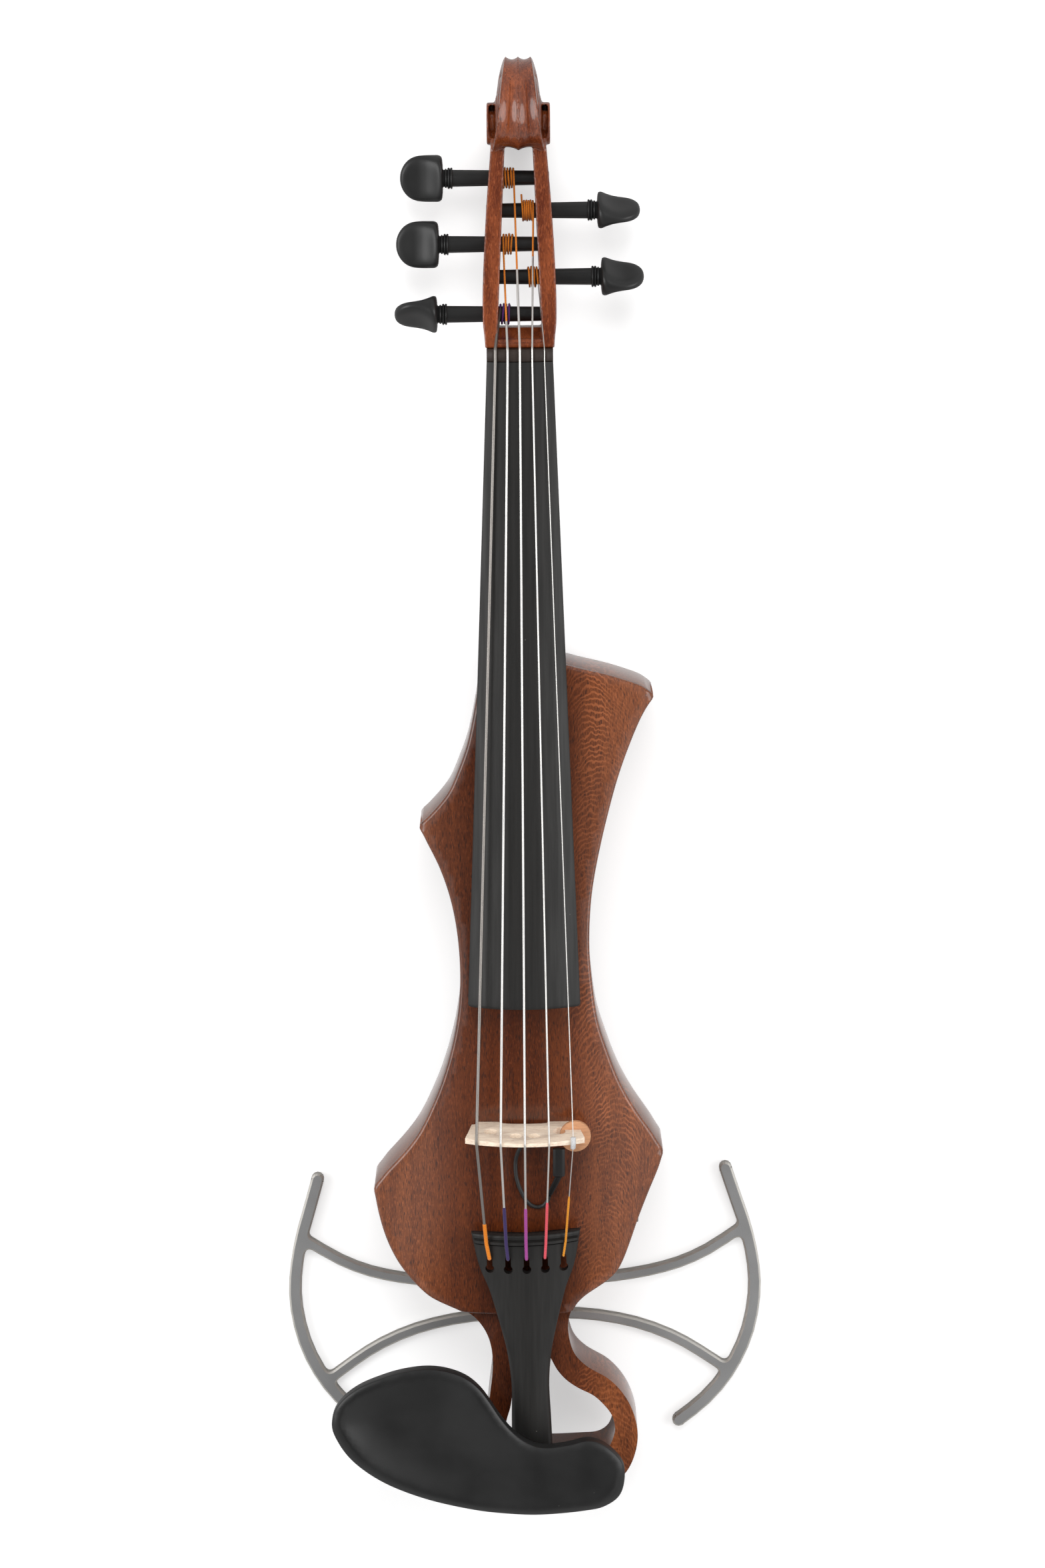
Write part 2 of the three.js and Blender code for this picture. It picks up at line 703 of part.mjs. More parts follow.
function plateTopAt(x, y) {
  const rise = archRise * readTable(archFadeShares, (y - plateEndY) / plateLength);
  return plateEdgeZ + rise * (1 - ((2 * x) / bodyWidth) ** 2);
}

function archedSlab(lift, z0) {
  const halfWidth = bodyWidth / 2 + overrun;
  const between = archFadeShares.map(([share]) => share).slice(1, -1);
  const stations = [-overrun / plateLength, ...between, 1 + overrun / plateLength];
  return loft(stations.map((share) => {
    const y = plateEndY + share * plateLength;
    const ring = [at(halfWidth, y, z0), at(-halfWidth, y, z0)];
    for (let i = 0; i <= archSegments; i += 1) {
      const x = -halfWidth + (2 * halfWidth * i) / archSegments;
      ring.push(at(x, y, plateTopAt(x, y) + lift));
    }
    return ring;
  }));
}

const crownZ = plateTopAt(0, bridgeY);

// Hollow of the body, between the ribs
const hollowTopY = bodyTopY - neckBlockLength;
const thinnedOutline = bodyOutline.filter((point, i) => i % hollowThinning === 0);
const hollowEndY = bodyEndY + hollowEndShare * bodyLength;
const hollowOutline = inset(outlineBetween(hollowEndY, hollowTopY, thinnedOutline), ribWall);

function makeBodyShell() {
  const shell = upright(bodyOutline, backZ, ribTopZ);
  const loop = [...lyreOpeningShares, lyreOpeningShares[0]].map(bodyPoint);
  const loopEdge = smooth(loop, lyreOpeningShares.length * outlineStepsPerPoint).map(flat).slice(0, -1);
  const opening = upright(loopEdge, backZ - overrun, ribTopZ + overrun);
  const jackBlock = box(
    jackFaceX - jackBlockThickness, bodyWidth, jackY - jackBlockLength / 2, jackY + jackBlockLength / 2,
    backZ - overrun, ribTopZ + overrun * 2,
  );
  const hollow = cut(upright(hollowOutline, backZ + backWall, ribTopZ + overrun), jackBlock);
  const jackInside = at(jackFaceX - jackBlockThickness - overrun, jackY, jackZ);
  const jackHole = rod(jackBarrelDiameter + 2 * fit, jackInside, at(bodyWidth, jackY, jackZ), largeSides);
  const jackSeat = rod(jackFlangeDiameter + 4 * fit, at(jackFaceX, jackY, jackZ),
    at(bodyWidth, jackY, jackZ), largeSides);
  const buttonHole = rod(buttonShankDiameter + 2 * fit, at(tailCentreX, bodyEndY - overrun, buttonZ),
    at(tailCentreX, bodyEndY + buttonShankLength + fit, buttonZ));
  const screwHoles = [-1, 1].map((side) => {
    const place = framePoint(side * frameScrewSpacing / 2, frameHubOffset);
    return rod(screwDiameter + 2 * fit, at(...place, backZ - overrun), at(...place, backZ + screwBite + fit));
  });
  return cut(shell, opening, hollow, jackHole, jackSeat, buttonHole, ...screwHoles);
}

function makeTopPlate() {
  const outer = common(
    upright(outlineBetween(plateEndY, bodyTopY), ribTopZ, plateEdgeZ + archRise + overrun),
    archedSlab(0, ribTopZ - overrun),
  );
  const under = common(
    upright(hollowOutline, ribTopZ - overrun, plateEdgeZ + archRise + overrun),
    archedSlab(-plateWall, ribTopZ - overrun * 2),
  );
  const grommetHole = rod(grommetSleeveDiameter + 2 * fit, at(grommetX, grommetY, ribTopZ - overrun),
    at(grommetX, grommetY, crownZ + overrun));
  return cut(outer, under, grommetHole);
}

function makeBassBar() {
  const [start, end] = [bassBarStartShare, bassBarEndShare].map((share) => bodyEndY + share * bodyLength);
  return common(
    box(bassBarX - bassBarWidth / 2, bassBarX + bassBarWidth / 2, start, end,
      plateEdgeZ - bassBarDepth, plateEdgeZ + archRise),
    archedSlab(-plateWall - fit, ribTopZ - bassBarDepth * 2),
  );
}

function makeSoundPost() {
  const y = bridgeY - postBehindBridge;
  const top = plateTopAt(postX + postDiameter / 2, y) - plateWall - fit;
  return rod(postDiameter, at(postX, y, backZ + backWall + fit), at(postX, y, top));
}

// Frame, in its own turned axes
function framePoint(x, y) {
  const turnedPoint = new THREE.Vector2(x, y).rotateAround(new THREE.Vector2(), frameTurn);
  return [turnedPoint.x, turnedPoint.y];
}

function makeFrame() {
  const scaled = (shares, side) => shares.map(([x, y]) => [x * frameHalfWidth * side, y * frameHalfWidth]);
  const bars = [];
  for (const side of [-1, 1]) {
    for (const [shares, width] of [
      [frameArcShares, frameArcWidth],
      [frameUpperBarShares, frameBarWidth],
      [frameLowerBarShares, frameBarWidth],
    ]) {
      const line = smooth(scaled(shares, side), Math.round(shares.length * frameStepsPerPoint));
      bars.push(upright(strip(line, width), 0, frameThickness));
    }
    for (const share of [frameArcShares[0], frameArcShares.at(-1)]) {
      const [x, y] = [share[0] * frameHalfWidth * side, share[1] * frameHalfWidth];
      bars.push(rod(frameArcWidth, at(x, y, 0), at(x, y, frameThickness)));
    }
  }
  const hub = box(-frameHubWidth / 2, frameHubWidth / 2, frameHubOffset - frameHubLength / 2,
    frameHubOffset + frameHubLength / 2, 0, frameThickness);
  const holes = [-1, 1].flatMap((side) => {
    const x = (side * frameScrewSpacing) / 2;
    const height = (z) => at(x, frameHubOffset, z);
    const hole = (diameter, top) => rod(diameter + 2 * fit, height(-overrun), height(top));
    return [
      hole(screwDiameter, frameThickness + overrun),
      hole(screwHeadDiameter, screwRecess + screwHeadHeight + fit),
    ];
  });
  return cut(join(hub, ...bars), ...holes);
}

function makeSpacer() {
  const [bore, outside] = [screwDiameter / 2 + fit, spacerDiameter / 2];
  return turned([[bore, 0], [outside, 0], [outside, spacerHeight], [bore, spacerHeight], [bore, 0]],
    at(0, 0, frameThickness), alongZ);
}

function makeFrameScrew() {
  const headTop = screwRecess + screwHeadHeight;
  const tip = backZ + screwBite;
  const [shank, head] = [screwDiameter / 2, screwHeadDiameter / 2];
  const blank = turned([[0, screwRecess], [head, screwRecess], [head, headTop], [shank, headTop], [shank, tip],
    [0, tip]], at(0, 0, 0), alongZ);
  const slot = box(-screwHeadDiameter, screwHeadDiameter, -screwSlotWidth / 2, screwSlotWidth / 2, -overrun,
    screwRecess + screwSlotDepth);
  return cut(blank, slot);
}

// Fingerboard surface and underside as heights along the neck
function sagitta(radius, halfWidth) {
  return radius - Math.sqrt(radius ** 2 - halfWidth ** 2);
}

function boardTopAt(y) {
  return crownZ + boardRiseHeight - boardSlopeShare * (y - bridgeY);
}

const boardEndY = nutFrontY - boardLength;

function boardHalfWidthAt(y) {
  return (boardWidthAtNut + ((boardWidthAtEnd - boardWidthAtNut) * (nutFrontY - y)) / boardLength) / 2;
}

function boardUnderAt(y) {
  const edgeDepth = (place) => sagitta(boardRadius, boardHalfWidthAt(place)) + boardEdgeThickness;
  const underAt = (place) => boardTopAt(place) - edgeDepth(place);
  return underAt(nutFrontY) + ((underAt(boardEndY) - underAt(nutFrontY)) * (nutFrontY - y)) / boardLength;
}

function makeFingerboard() {
  const stations = Array.from({ length: boardSections + 1 }, (none, i) => i / boardSections)
    .map((share) => boardEndY + share * boardLength);
  return loft(stations.map((y) => {
    const half = boardHalfWidthAt(y);
    const ring = [at(nutX + half, y, boardUnderAt(y)), at(nutX - half, y, boardUnderAt(y))];
    for (let i = 0; i <= neckSides; i += 1) {
      const x = -half + (2 * half * i) / neckSides;
      ring.push(at(nutX + x, y, boardTopAt(y) - sagitta(boardRadius, x)));
    }
    return ring;
  }));
}

const nutBackY = nutFrontY + nutLength;
const nutTopZ = boardTopAt(nutFrontY) + nutStandsProud;

function makeNut() {
  const half = boardWidthAtNut / 2 + fit;
  const points = [];
  const base = boardUnderAt(nutFrontY);
  points.push([nutX + half, base], [nutX - half, base]);
  for (let i = 0; i <= neckSides; i += 1) {
    const x = -half + (2 * half * i) / neckSides;
    points.push([nutX + x, nutTopZ - sagitta(boardRadius, x)]);
  }
  return lengthways(points, nutFrontY, nutBackY);
}

// Neck: a flat top under the board and a round back, down to the heel at the body
function neckRing(y, halfWidth, topZ, bottomZ, squareness) {
  const ring = [];
  for (let i = 0; i <= neckSides; i += 1) {
    const angle = Math.PI + (Math.PI * i) / neckSides;
    const [c, s] = [Math.cos(angle), Math.sin(angle)];
    ring.push(at(nutX + Math.sign(c) * halfWidth * Math.abs(c) ** squareness, y,
      topZ - (topZ - bottomZ) * Math.abs(s) ** squareness));
  }
  return ring;
}

function makeNeckShaft() {
  const topAt = (y) => boardUnderAt(y) - fit;
  const bottomAt = (y) => {
    const share = (y - bodyTopY) / (nutFrontY - bodyTopY);
    return topAt(y) - (neckDepthAtHeel + (neckDepthAtNut - neckDepthAtHeel) * share);
  };
  const [topAtNut, bottomAtNut] = [topAt(nutFrontY), bottomAt(nutFrontY)];
  const rings = [nutBackY, nutFrontY]
    .map((y) => neckRing(y, boardWidthAtNut / 2 - neckInset, topAtNut, bottomAtNut, roundBackPower));
  for (const [reach, drop] of heelShares) {
    const y = bodyTopY + reach * heelReach;
    const half = boardHalfWidthAt(y) - neckInset;
    const wide = half + (heelWidth / 2 - half) * drop;
    const bottom = bottomAt(y) + (heelFootZ - bottomAt(y)) * drop;
    rings.push(neckRing(y, wide, topAt(y), bottom, roundBackPower + (heelPower - roundBackPower) * drop));
  }
  return loft(rings);
}

// Pegbox heights along the neck
const pegboxTopStartZ = nutTopZ - pegboxTopDrop;
const throatY = nutBackY + pegboxLength;
const eyeY = throatY + eyeBeyondThroat;
const eyeZ = scrollRadius * outerTurnShares[0][0];

function pegboxTopAt(y) {
  return pegboxTopStartZ - pegboxTopSlopeShare * (y - nutBackY);
}

function pegboxBottomAt(y) {
  const share = (y - nutBackY) / pegboxLength;
  return pegboxTopAt(y) - pegboxDepthAtNut - (pegboxDepthAtThroat - pegboxDepthAtNut) * share;
}

function pegboxHalfWidthAt(y) {
  const wide = readTable(pegboxWidthShares, (y - nutBackY) / pegboxLength);
  return (pegboxThroatWidth + (pegboxWidestWidth - pegboxThroatWidth) * wide) / 2;
}

function slotHalfWidthAt(y) {
  const share = (y - nutBackY - slotStart) / (pegboxLength - slotStart);
  return (slotWidthAtNut + (slotWidthAtThroat - slotWidthAtNut) * share) / 2;
}

function makePegbox() {
  const neckBottom = boardUnderAt(nutFrontY) - fit - neckDepthAtNut;
  const chinStart = nutBackY + chinStartShare * pegboxLength;
  const chinEnd = nutBackY + chinEndShare * pegboxLength;
  const chinZ = (share) => pegboxBottomAt(chinEnd) + (neckBottom - pegboxBottomAt(chinEnd)) * share;
  const eyeBackY = eyeY - scrollRadius * eyeBackShare;
  const side = [
    [nutBackY, pegboxTopStartZ],
    [throatY, pegboxTopAt(throatY)],
    [throatY + eyeBeyondThroat / 2, eyeZ + eyeRadius / 2],
    [eyeY, eyeZ],
    [eyeBackY, eyeZ - scrollRadius * eyeUnderShare],
    [throatY - eyeBeyondThroat, pegboxBottomAt(throatY - eyeBeyondThroat)],
    [chinEnd, pegboxBottomAt(chinEnd)],
    [(chinStart + chinEnd) / 2, chinZ(chinLowShare)],
    [chinStart, chinZ(chinHighShare)],
    [nutBackY, neckBottom],
  ];
  const edge = pegboxWidthShares
    .map(([share]) => nutBackY + share * pegboxLength)
    .map((y) => [pegboxHalfWidthAt(y), y]);
  edge.unshift([pegboxWidthAtNut / 2, nutBackY]);
  edge.push([(pegboxThroatWidth * pegboxEndShare) / 2, eyeY]);
  const plan = [...edge.map(([x, y]) => [nutX + x, y]), ...edge.reverse().map(([x, y]) => [nutX - x, y])];
  const blank = common(sideways(side, -bodyWidth, bodyWidth), upright(plan, -overrun, nutTopZ));
  const slotFrontY = nutBackY + slotRampStart;
  const slotPlan = (relief) => [
    [nutX + slotHalfWidthAt(slotFrontY) + relief, slotFrontY],
    [nutX + slotHalfWidthAt(throatY) + relief, throatY],
    [nutX - slotHalfWidthAt(throatY) - relief, throatY],
    [nutX - slotHalfWidthAt(slotFrontY) - relief, slotFrontY],
  ];
  const rampEndY = nutBackY + slotStart;
  const slotSide = [
    [slotFrontY, nutTopZ + overrun], [slotFrontY, pegboxTopAt(slotFrontY) - overrun / 2],
    [rampEndY, pegboxTopStartZ - slotRampDepth], [rampEndY, -overrun * 2],
    [throatY - overrun / 2, -overrun * 2], [throatY - overrun / 2, nutTopZ + overrun],
  ];
  const slotFromAbove = upright(slotPlan(0), -overrun, nutTopZ + overrun);
  const slot = common(slotFromAbove, sideways(slotSide, -bodyWidth, bodyWidth));
  const relief = common(
    upright(slotPlan(slotRelief), -overrun, nutTopZ + overrun),
    sideways([[slotFrontY, nutTopZ + overrun], [slotFrontY, pegboxTopAt(slotFrontY) - overrun / 2],
      [slotFrontY + slotReliefLength / 2, pegboxTopAt(slotFrontY) - slotReliefDepth],
      [slotFrontY + slotReliefLength, pegboxTopAt(slotFrontY + slotReliefLength)],
      [slotFrontY + slotReliefLength, nutTopZ + overrun]], -bodyWidth, bodyWidth),
  );
  return { blank, slot, relief };
}

// One turn of the scroll: a closed fan of radii and half widths round the eye, as shares
function scrollTurn(shares, centreShare) {
  const points = [];
  const steps = shares.length * turnSteps;
  const read = (column, position) => {
    const low = Math.floor(position);
    const high = Math.min(low + 1, shares.length - 1);
    return shares[low][column] + (shares[high][column] - shares[low][column]) * (position - low);
  };
  for (let i = 0; i < steps; i += 1) {
    const position = (i / steps) * shares.length;
    const angle = (2 * Math.PI * i) / steps;
    const radius = read(0, Math.min(position, shares.length - 1)) * scrollRadius;
    const half = read(1, Math.min(position, shares.length - 1)) * scrollHalfWidth;
    points.push({ y: eyeY + radius * Math.sin(angle), z: eyeZ - radius * Math.cos(angle), half });
  }
  const vertices = [];
  const faces = [];
  for (const side of [1, -1]) {
    points.forEach(({ y, z, half }) => vertices.push(at(nutX + side * half, y, z)));
    vertices.push(at(nutX + side * centreShare * scrollHalfWidth, eyeY, eyeZ));
  }
  const other = steps + 1;
  for (let i = 0; i < steps; i += 1) {
    const next = (i + 1) % steps;
    faces.push(steps, i, next);
    faces.push(other + steps, other + next, other + i);
    faces.push(i, other + i, other + next, i, other + next, next);
  }
  const geometry = new THREE.BufferGeometry().setFromPoints(vertices);
  geometry.setIndex(faces);
  return facingOut(geometry);
}

function makeNeckAndScroll() {
  const { blank, slot, relief } = makePegbox();
  const [eyeLeft, eyeRight] = [-1, 1].map((side) => at(nutX + side * scrollHalfWidth, eyeY, eyeZ));
  const turns = [outerTurnShares, innerTurnShares].map((shares) => scrollTurn(shares, shares.at(-1)[1]));
  const wood = join(makeNeckShaft(), blank, ...turns, rod(2 * eyeRadius, eyeLeft, eyeRight));
  const pegHoles = stringNames.map((name, i) => pegShank(i, fit)
    .rotateZ(pegSideSigns[i] > 0 ? Math.PI : 0)
    .translate(nutX, pegY(i), pegZ(i)));
  return cut(wood, slot, relief, ...pegHoles);
}

// Pegs, each along its own X axis with the head at -X
function pegY(i) {
  return nutBackY + pegAlongShares[i] * pegboxLength;
}

function pegZ(i) {
  return pegboxTopAt(pegY(i)) - pegAxisDepth;
}

function cheekHalfWidth(i) {
  return pegboxHalfWidthAt(pegY(i));
}

function pegRadiusAt(i, x) {
  const reach = 2 * cheekHalfWidth(i) + pegShankShows;
  const share = (cheekHalfWidth(i) - x) / reach;
  return (pegTipDiameter + (pegNeckDiameter - pegTipDiameter) * share) / 2;
}

function pegShank(i, grow) {
  const tip = cheekHalfWidth(i) + (grow ? overrun : 0);
  const neck = -cheekHalfWidth(i) - pegShankShows;
  const inCollar = neck - pegCollarLength / 2;
  return turned([[0, tip], [pegRadiusAt(i, tip) + grow, tip], [pegRadiusAt(i, neck) + grow, neck],
    [pegRadiusAt(i, neck) + grow, inCollar], [0, inCollar]], at(0, 0, 0), alongX);
}

function makePeg(i) {
  const neck = -cheekHalfWidth(i) - pegShankShows;
  const collarEnd = neck - pegCollarLength;
  const profile = pegCollarShares.map(([along, across]) =>
    [(across * pegCollarDiameter) / 2, neck - along * pegCollarLength]);
  const collar = turned([[0, neck], ...profile, [0, collarEnd]], at(0, 0, 0), alongX);
  const headStart = collarEnd + pegHeadSinkShare * pegCollarLength;
  const headEnd = collarEnd - pegHeadLength;
  const rings = pegHeadShares.map(([share, wide, thick]) => {
    const ringPoints = [];
    for (let k = 0; k < rodSides; k += 1) {
      const angle = (2 * Math.PI * k) / rodSides;
      const [c, s] = [Math.cos(angle), Math.sin(angle)];
      const dish = 1 - pegHeadDishShare * Math.sin(Math.PI * share) * Math.abs(s);
      ringPoints.push(at(headStart + (headEnd - headStart) * share,
        (pegHeadWidth / 2) * wide * Math.sign(c) * Math.abs(c) ** pegHeadPower,
        (pegHeadThickness / 2) * thick * dish * Math.sign(s) * Math.abs(s) ** pegHeadPower));
    }
    return ringPoints;
  });
  return join(pegShank(i, 0), collar, loft(rings).rotateX(THREE.MathUtils.degToRad(pegHeadTurns[i])));
}

// String heights and places at the nut and the bridge
function stringX(i, spacing) {
  return (i - (stringNames.length - 1) / 2) * spacing;
}

// Middle of a round piece that rests on an arc, at a place beside the arc's top
function restingZ(topZ, arcRadius, x, radius) {
  return topZ - sagitta(arcRadius, x) + (fit + radius) / Math.cos(Math.asin(x / arcRadius));
}

function stringAtNutZ(i) {
  return restingZ(nutTopZ, boardRadius, stringX(i, nutStringSpacing), stringDiameters[i] / 2);
}

const bridgeTopZ = crownZ + bridgeHeight;
const thinnest = stringNames.length - 1;

function stringAtBridgeZ(i) {
  const carried = i === thinnest ? sleeveDiameter : stringDiameters[i];
  const fall = (bridgeTopZ - crownZ - tailTopRise) / afterLength;
  const clearOfEdge = Math.max((fall * bridgeTopThickness) / 2 - fit, 0);
  return restingZ(bridgeTopZ, bridgeTopRadius, stringX(i, bridgeStringSpacing), carried / 2) + clearOfEdge;
}

// String winding on a peg, one unbroken helix round X that starts where the string comes in
function helixRadius(i) {
  return pegNeckDiameter / 2 + fit + windingDiameter / 2;
}

// How far the string's line dips from level as it comes to the top of the winding
function dipAngle(i) {
  const run = pegY(i) - nutBackY;
  const drop = stringAtNutZ(i) - pegZ(i);
  return Math.atan2(drop, run) - Math.asin(helixRadius(i) / Math.hypot(run, drop));
}

// How far to the treble side a string comes in on its peg, from the neck's middle
function windingX(i) {
  return windingStartShares[i] * slotHalfWidthAt(pegY(i));
}

function windingPoints(i) {
  const start = Math.PI / 2 - dipAngle(i);
  const radius = helixRadius(i);
  const steps = windingLoops[i] * loopSteps;
  const points = [];
  for (let k = 0; k <= steps; k += 1) {
    const angle = start - (2 * Math.PI * k) / loopSteps;
    const x = windingX(i) + (windingGrowSigns[i] * windingPitch * k) / loopSteps;
    points.push(at(x, radius * Math.cos(angle), radius * Math.sin(angle)));
  }
  const lead = (from, to) => from.clone().add(from.clone().sub(to).setX(0).setLength(windingDiameter));
  return [lead(points[0], points[1]), ...points, lead(points.at(-1), points.at(-2))];
}

function makeWinding(i) {
  return tube(windingPoints(i), () => windingDiameter / 2, loopSides);
}

// Least gap of a winding to itself, between points more than a third of a loop apart
function leastGap(points) {
  let least = Infinity;
  points.forEach((point, i) => {
    for (let k = i + Math.round(loopSteps / 3); k < points.length; k += 1) {
      least = Math.min(least, point.distanceTo(points[k]));
    }
  });
  return least - windingDiameter;
}

// Tailpiece, along -Y from its wide end, in its own turned axes
const tailTopZ = crownZ + tailTopRise;
const tailFootZ = ribTopZ + saddleHeight + tailFootRise;

function tailShare(y) {
  return -y / tailLength;
}

function tailTopAt(x, y) {
  const crown = tailTopZ - ridgeHeight;
  return crown + (tailFootZ - crown) * tailShare(y) - sagitta(tailRadius, x);
}

function tailThicknessAt(y) {
  return tailThickness + (tailFootThickness - tailThickness) * tailShare(y);
}

function tailRing(y, halfWidth, lift, thickness) {
  const ring = [];
  for (let i = 0; i <= tailArcPoints; i += 1) {
    const x = halfWidth * (1 - (2 * i) / tailArcPoints);
    ring.push(at(x, y, tailTopAt(x, y) + lift));
  }
  for (let i = 0; i <= tailArcPoints; i += 1) {
    const x = halfWidth * (-1 + (2 * i) / tailArcPoints);
    ring.push(at(x, y, tailTopAt(x, y) + lift - thickness));
  }
  return ring;
}

function makeTailpiece() {
  const plate = loft(tailWidthShares.map(([share, wide]) => {
    const y = -share * tailLength;
    return tailRing(y, (wide * tailTopWidth) / 2, 0, tailThicknessAt(y));
  }));
  const ridgeHalf = (readTable(tailWidthShares, ridgeFromTop / tailLength) * tailTopWidth) / 2 - fit;
  const ridge = loft([-ridgeFromTop + ridgeWidth / 2, -ridgeFromTop - ridgeWidth / 2].map((y) =>
    tailRing(y, ridgeHalf, ridgeHeight, ridgeHeight * 2)));
  const keyholes = stringNames.map((name, i) => {
    const x = stringX(i, keyholeSpacing);
    const [low, high] = [tailTopAt(x, -keyholeFromTop) - tailThickness * 3, tailTopZ + overrun];
    const slit = box(x - keyholeSlitWidth / 2, x + keyholeSlitWidth / 2, -keyholeFromTop,
      -keyholeFromTop + keyholeSlitLength, low, high);
    const round = rod(keyholeDiameter, at(x, -keyholeFromTop, low), at(x, -keyholeFromTop, high));
    return join(slit, round);
  });
  return cut(join(plate, ridge), ...keyholes);
}

// A point of the tailpiece in the instrument's axes
function fromTail(x, y, z) {
  const place = new THREE.Vector2(x, y).rotateAround(new THREE.Vector2(), tailTurn);
  return at(tailX + place.x, tailTopY + place.y, z);
}

const tailFoot = fromTail(0, -tailLength, 0);

// A string from its ball under the tailpiece to where it reaches the winding
function stringRoute(i) {
  const x = stringX(i, keyholeSpacing);
  const wrap = wrapDiameters[i] / 2;
  const slitY = -keyholeFromTop + keyholeSlitLength - wrap - fit;
  const ridgeX = x * (1 + (keyholeFromTop - ridgeFromTop) / (bridgeY - tailTopY) * ridgeSpreadShare);
  const ballZ = tailTopAt(x, slitY) - tailThicknessAt(slitY) - fit - ballDiameter / 2;
  const dip = dipAngle(i);
  const radius = helixRadius(i);
  const swept = Math.hypot(radius, windingDiameter) + windingDiameter / 2 + fit;
  const short = Math.sqrt(swept ** 2 - (radius - stringDiameters[i] / 2) ** 2);
  const touchY = pegY(i) + radius * Math.sin(dip);
  const touchZ = pegZ(i) + radius * Math.cos(dip);
  const overBridge = at(bridgeX + stringX(i, bridgeStringSpacing), bridgeY, stringAtBridgeZ(i));
  const ridge = fromTail(ridgeX, -ridgeFromTop, tailTopAt(ridgeX, -ridgeFromTop) + ridgeHeight + fit + wrap);
  const wrapEnd = ridge.clone().lerp(overBridge, wrapEndShares[i]);
  const thinStart = ridge.clone().lerp(overBridge, wrapEndShares[i] + wrapStepShare);
  const end = at(nutX + windingX(i), touchY - short * Math.cos(dip), touchZ + short * Math.sin(dip));
  const ball = fromTail(x, slitY, ballZ);
  const wrapped = [
    ball,
    fromTail(x, slitY, tailTopAt(x, slitY) + fit),
    fromTail(x, slitY + wrap / 2, tailTopAt(x, slitY) + fit + wrapDiameters[i] * wrapLiftShare),
    ridge,
    wrapEnd,
  ];
  const atNutX = nutX + stringX(i, nutStringSpacing);
  const bare = [
    thinStart, overBridge, at(atNutX, nutFrontY, stringAtNutZ(i)), at(atNutX, nutBackY, stringAtNutZ(i)), end,
  ];
  return { ball, wrapped, bare, overBridge };
}

function makeString(i) {
  const { ball, wrapped, bare } = stringRoute(i);
  const radiusAt = (k) => (k < wrapped.length ? wrapDiameters : stringDiameters)[i] / 2;
  const line = tube([...wrapped, ...bare], radiusAt, stringSides);
  const end = new THREE.SphereGeometry(ballDiameter / 2, stringSides, stringSides);
  return join(line, end.translate(ball.x, ball.y, ball.z));
}

function makeSleeve() {
  const { bare, overBridge } = stringRoute(thinnest);
  const [tailSide, , nutSide] = bare;
  const towards = (other, reach) => overBridge.clone().add(other.clone().sub(overBridge).setLength(reach));
  const line = (reach) => [towards(tailSide, reach), overBridge, towards(nutSide, reach)];
  return cut(tube(line(sleeveLength / 2), () => sleeveDiameter / 2, rodSides),
    tube(line(sleeveLength), () => sleeveBore / 2, rodSides));
}

// Bridge, its pickup and the cable
const bridgeSlotHeight = discThickness + 2 * fit;

function makeBridge() {
  const half = bridgeHalfShares.map(([x, z]) => [(x * bridgeTopWidth) / 2, z * bridgeHeight]);
  const arch = [];
  const archHalf = bridgeFootSpan / 2 - bridgeFootLength;
  for (let i = 0; i <= archSteps; i += 1) {
    const angle = (Math.PI * i) / archSteps;
    arch.push([-archHalf * Math.cos(angle), bridgeArchHeight * Math.sin(angle) ** bridgeArchPower]);
  }
  const top = [];
  for (let i = 0; i <= neckSides; i += 1) {
    const x = (bridgeTopWidth / 2) * (1 - (2 * i) / neckSides);
    top.push([x, bridgeHeight - sagitta(bridgeTopRadius, x)]);
  }
  const footZ = -archRise / 4;
  const outline = [
    [archHalf, footZ], [bridgeFootSpan / 2, footZ], ...half, ...top,
    ...half.map(([x, z]) => [-x, z]).reverse(), [-bridgeFootSpan / 2, footZ], [-archHalf, footZ],
    ...arch,
  ];
  const placed = (points) => points.map(([x, z]) => [bridgeX + x, crownZ + z]);
  const back = bridgeY - bridgeFootThickness / 2;
  const front = bridgeY + bridgeFootThickness / 2;
  const blank = lengthways(placed(outline), back, front);
  const side = [
    [back, crownZ - overrun],
    [front, crownZ - overrun],
    [front, crownZ + bridgeFootHeight],
    [bridgeY + bridgeTopThickness / 2, bridgeTopZ + fit],
    [bridgeY - bridgeTopThickness / 2, bridgeTopZ + fit],
    [back, crownZ + bridgeFootHeight],
  ];
  const tools = [archedSlab(fit, ribTopZ)];
  tools.push(box(bridgeX + bridgeWaistX, bridgeX + bridgeTopWidth, back - overrun, front + overrun,
    crownZ + bridgeSlotZ, crownZ + bridgeSlotZ + bridgeSlotHeight));
  const oval = (width, height, x, z) => rod(1, at(0, back - overrun, 0), at(0, front + overrun, 0))
    .scale(width, 1, height)
    .translate(bridgeX + x, 0, crownZ + z);
  for (const sign of [-1, 1]) {
    tools.push(oval(heartWidth, heartHeight, sign * heartX, heartZ));
    tools.push(oval(kidneyWidth, kidneyHeight, sign * kidneyX, kidneyZ));
  }
  return cut(common(blank, sideways(side, -bodyWidth, bodyWidth)), ...tools);
}

const discZ = crownZ + bridgeSlotZ + fit;
const discY = bridgeY - discBehindBridge;

function makeDisc() {
  return rod(discDiameter, at(discX, discY, discZ), at(discX, discY, discZ + discThickness), largeSides);
}

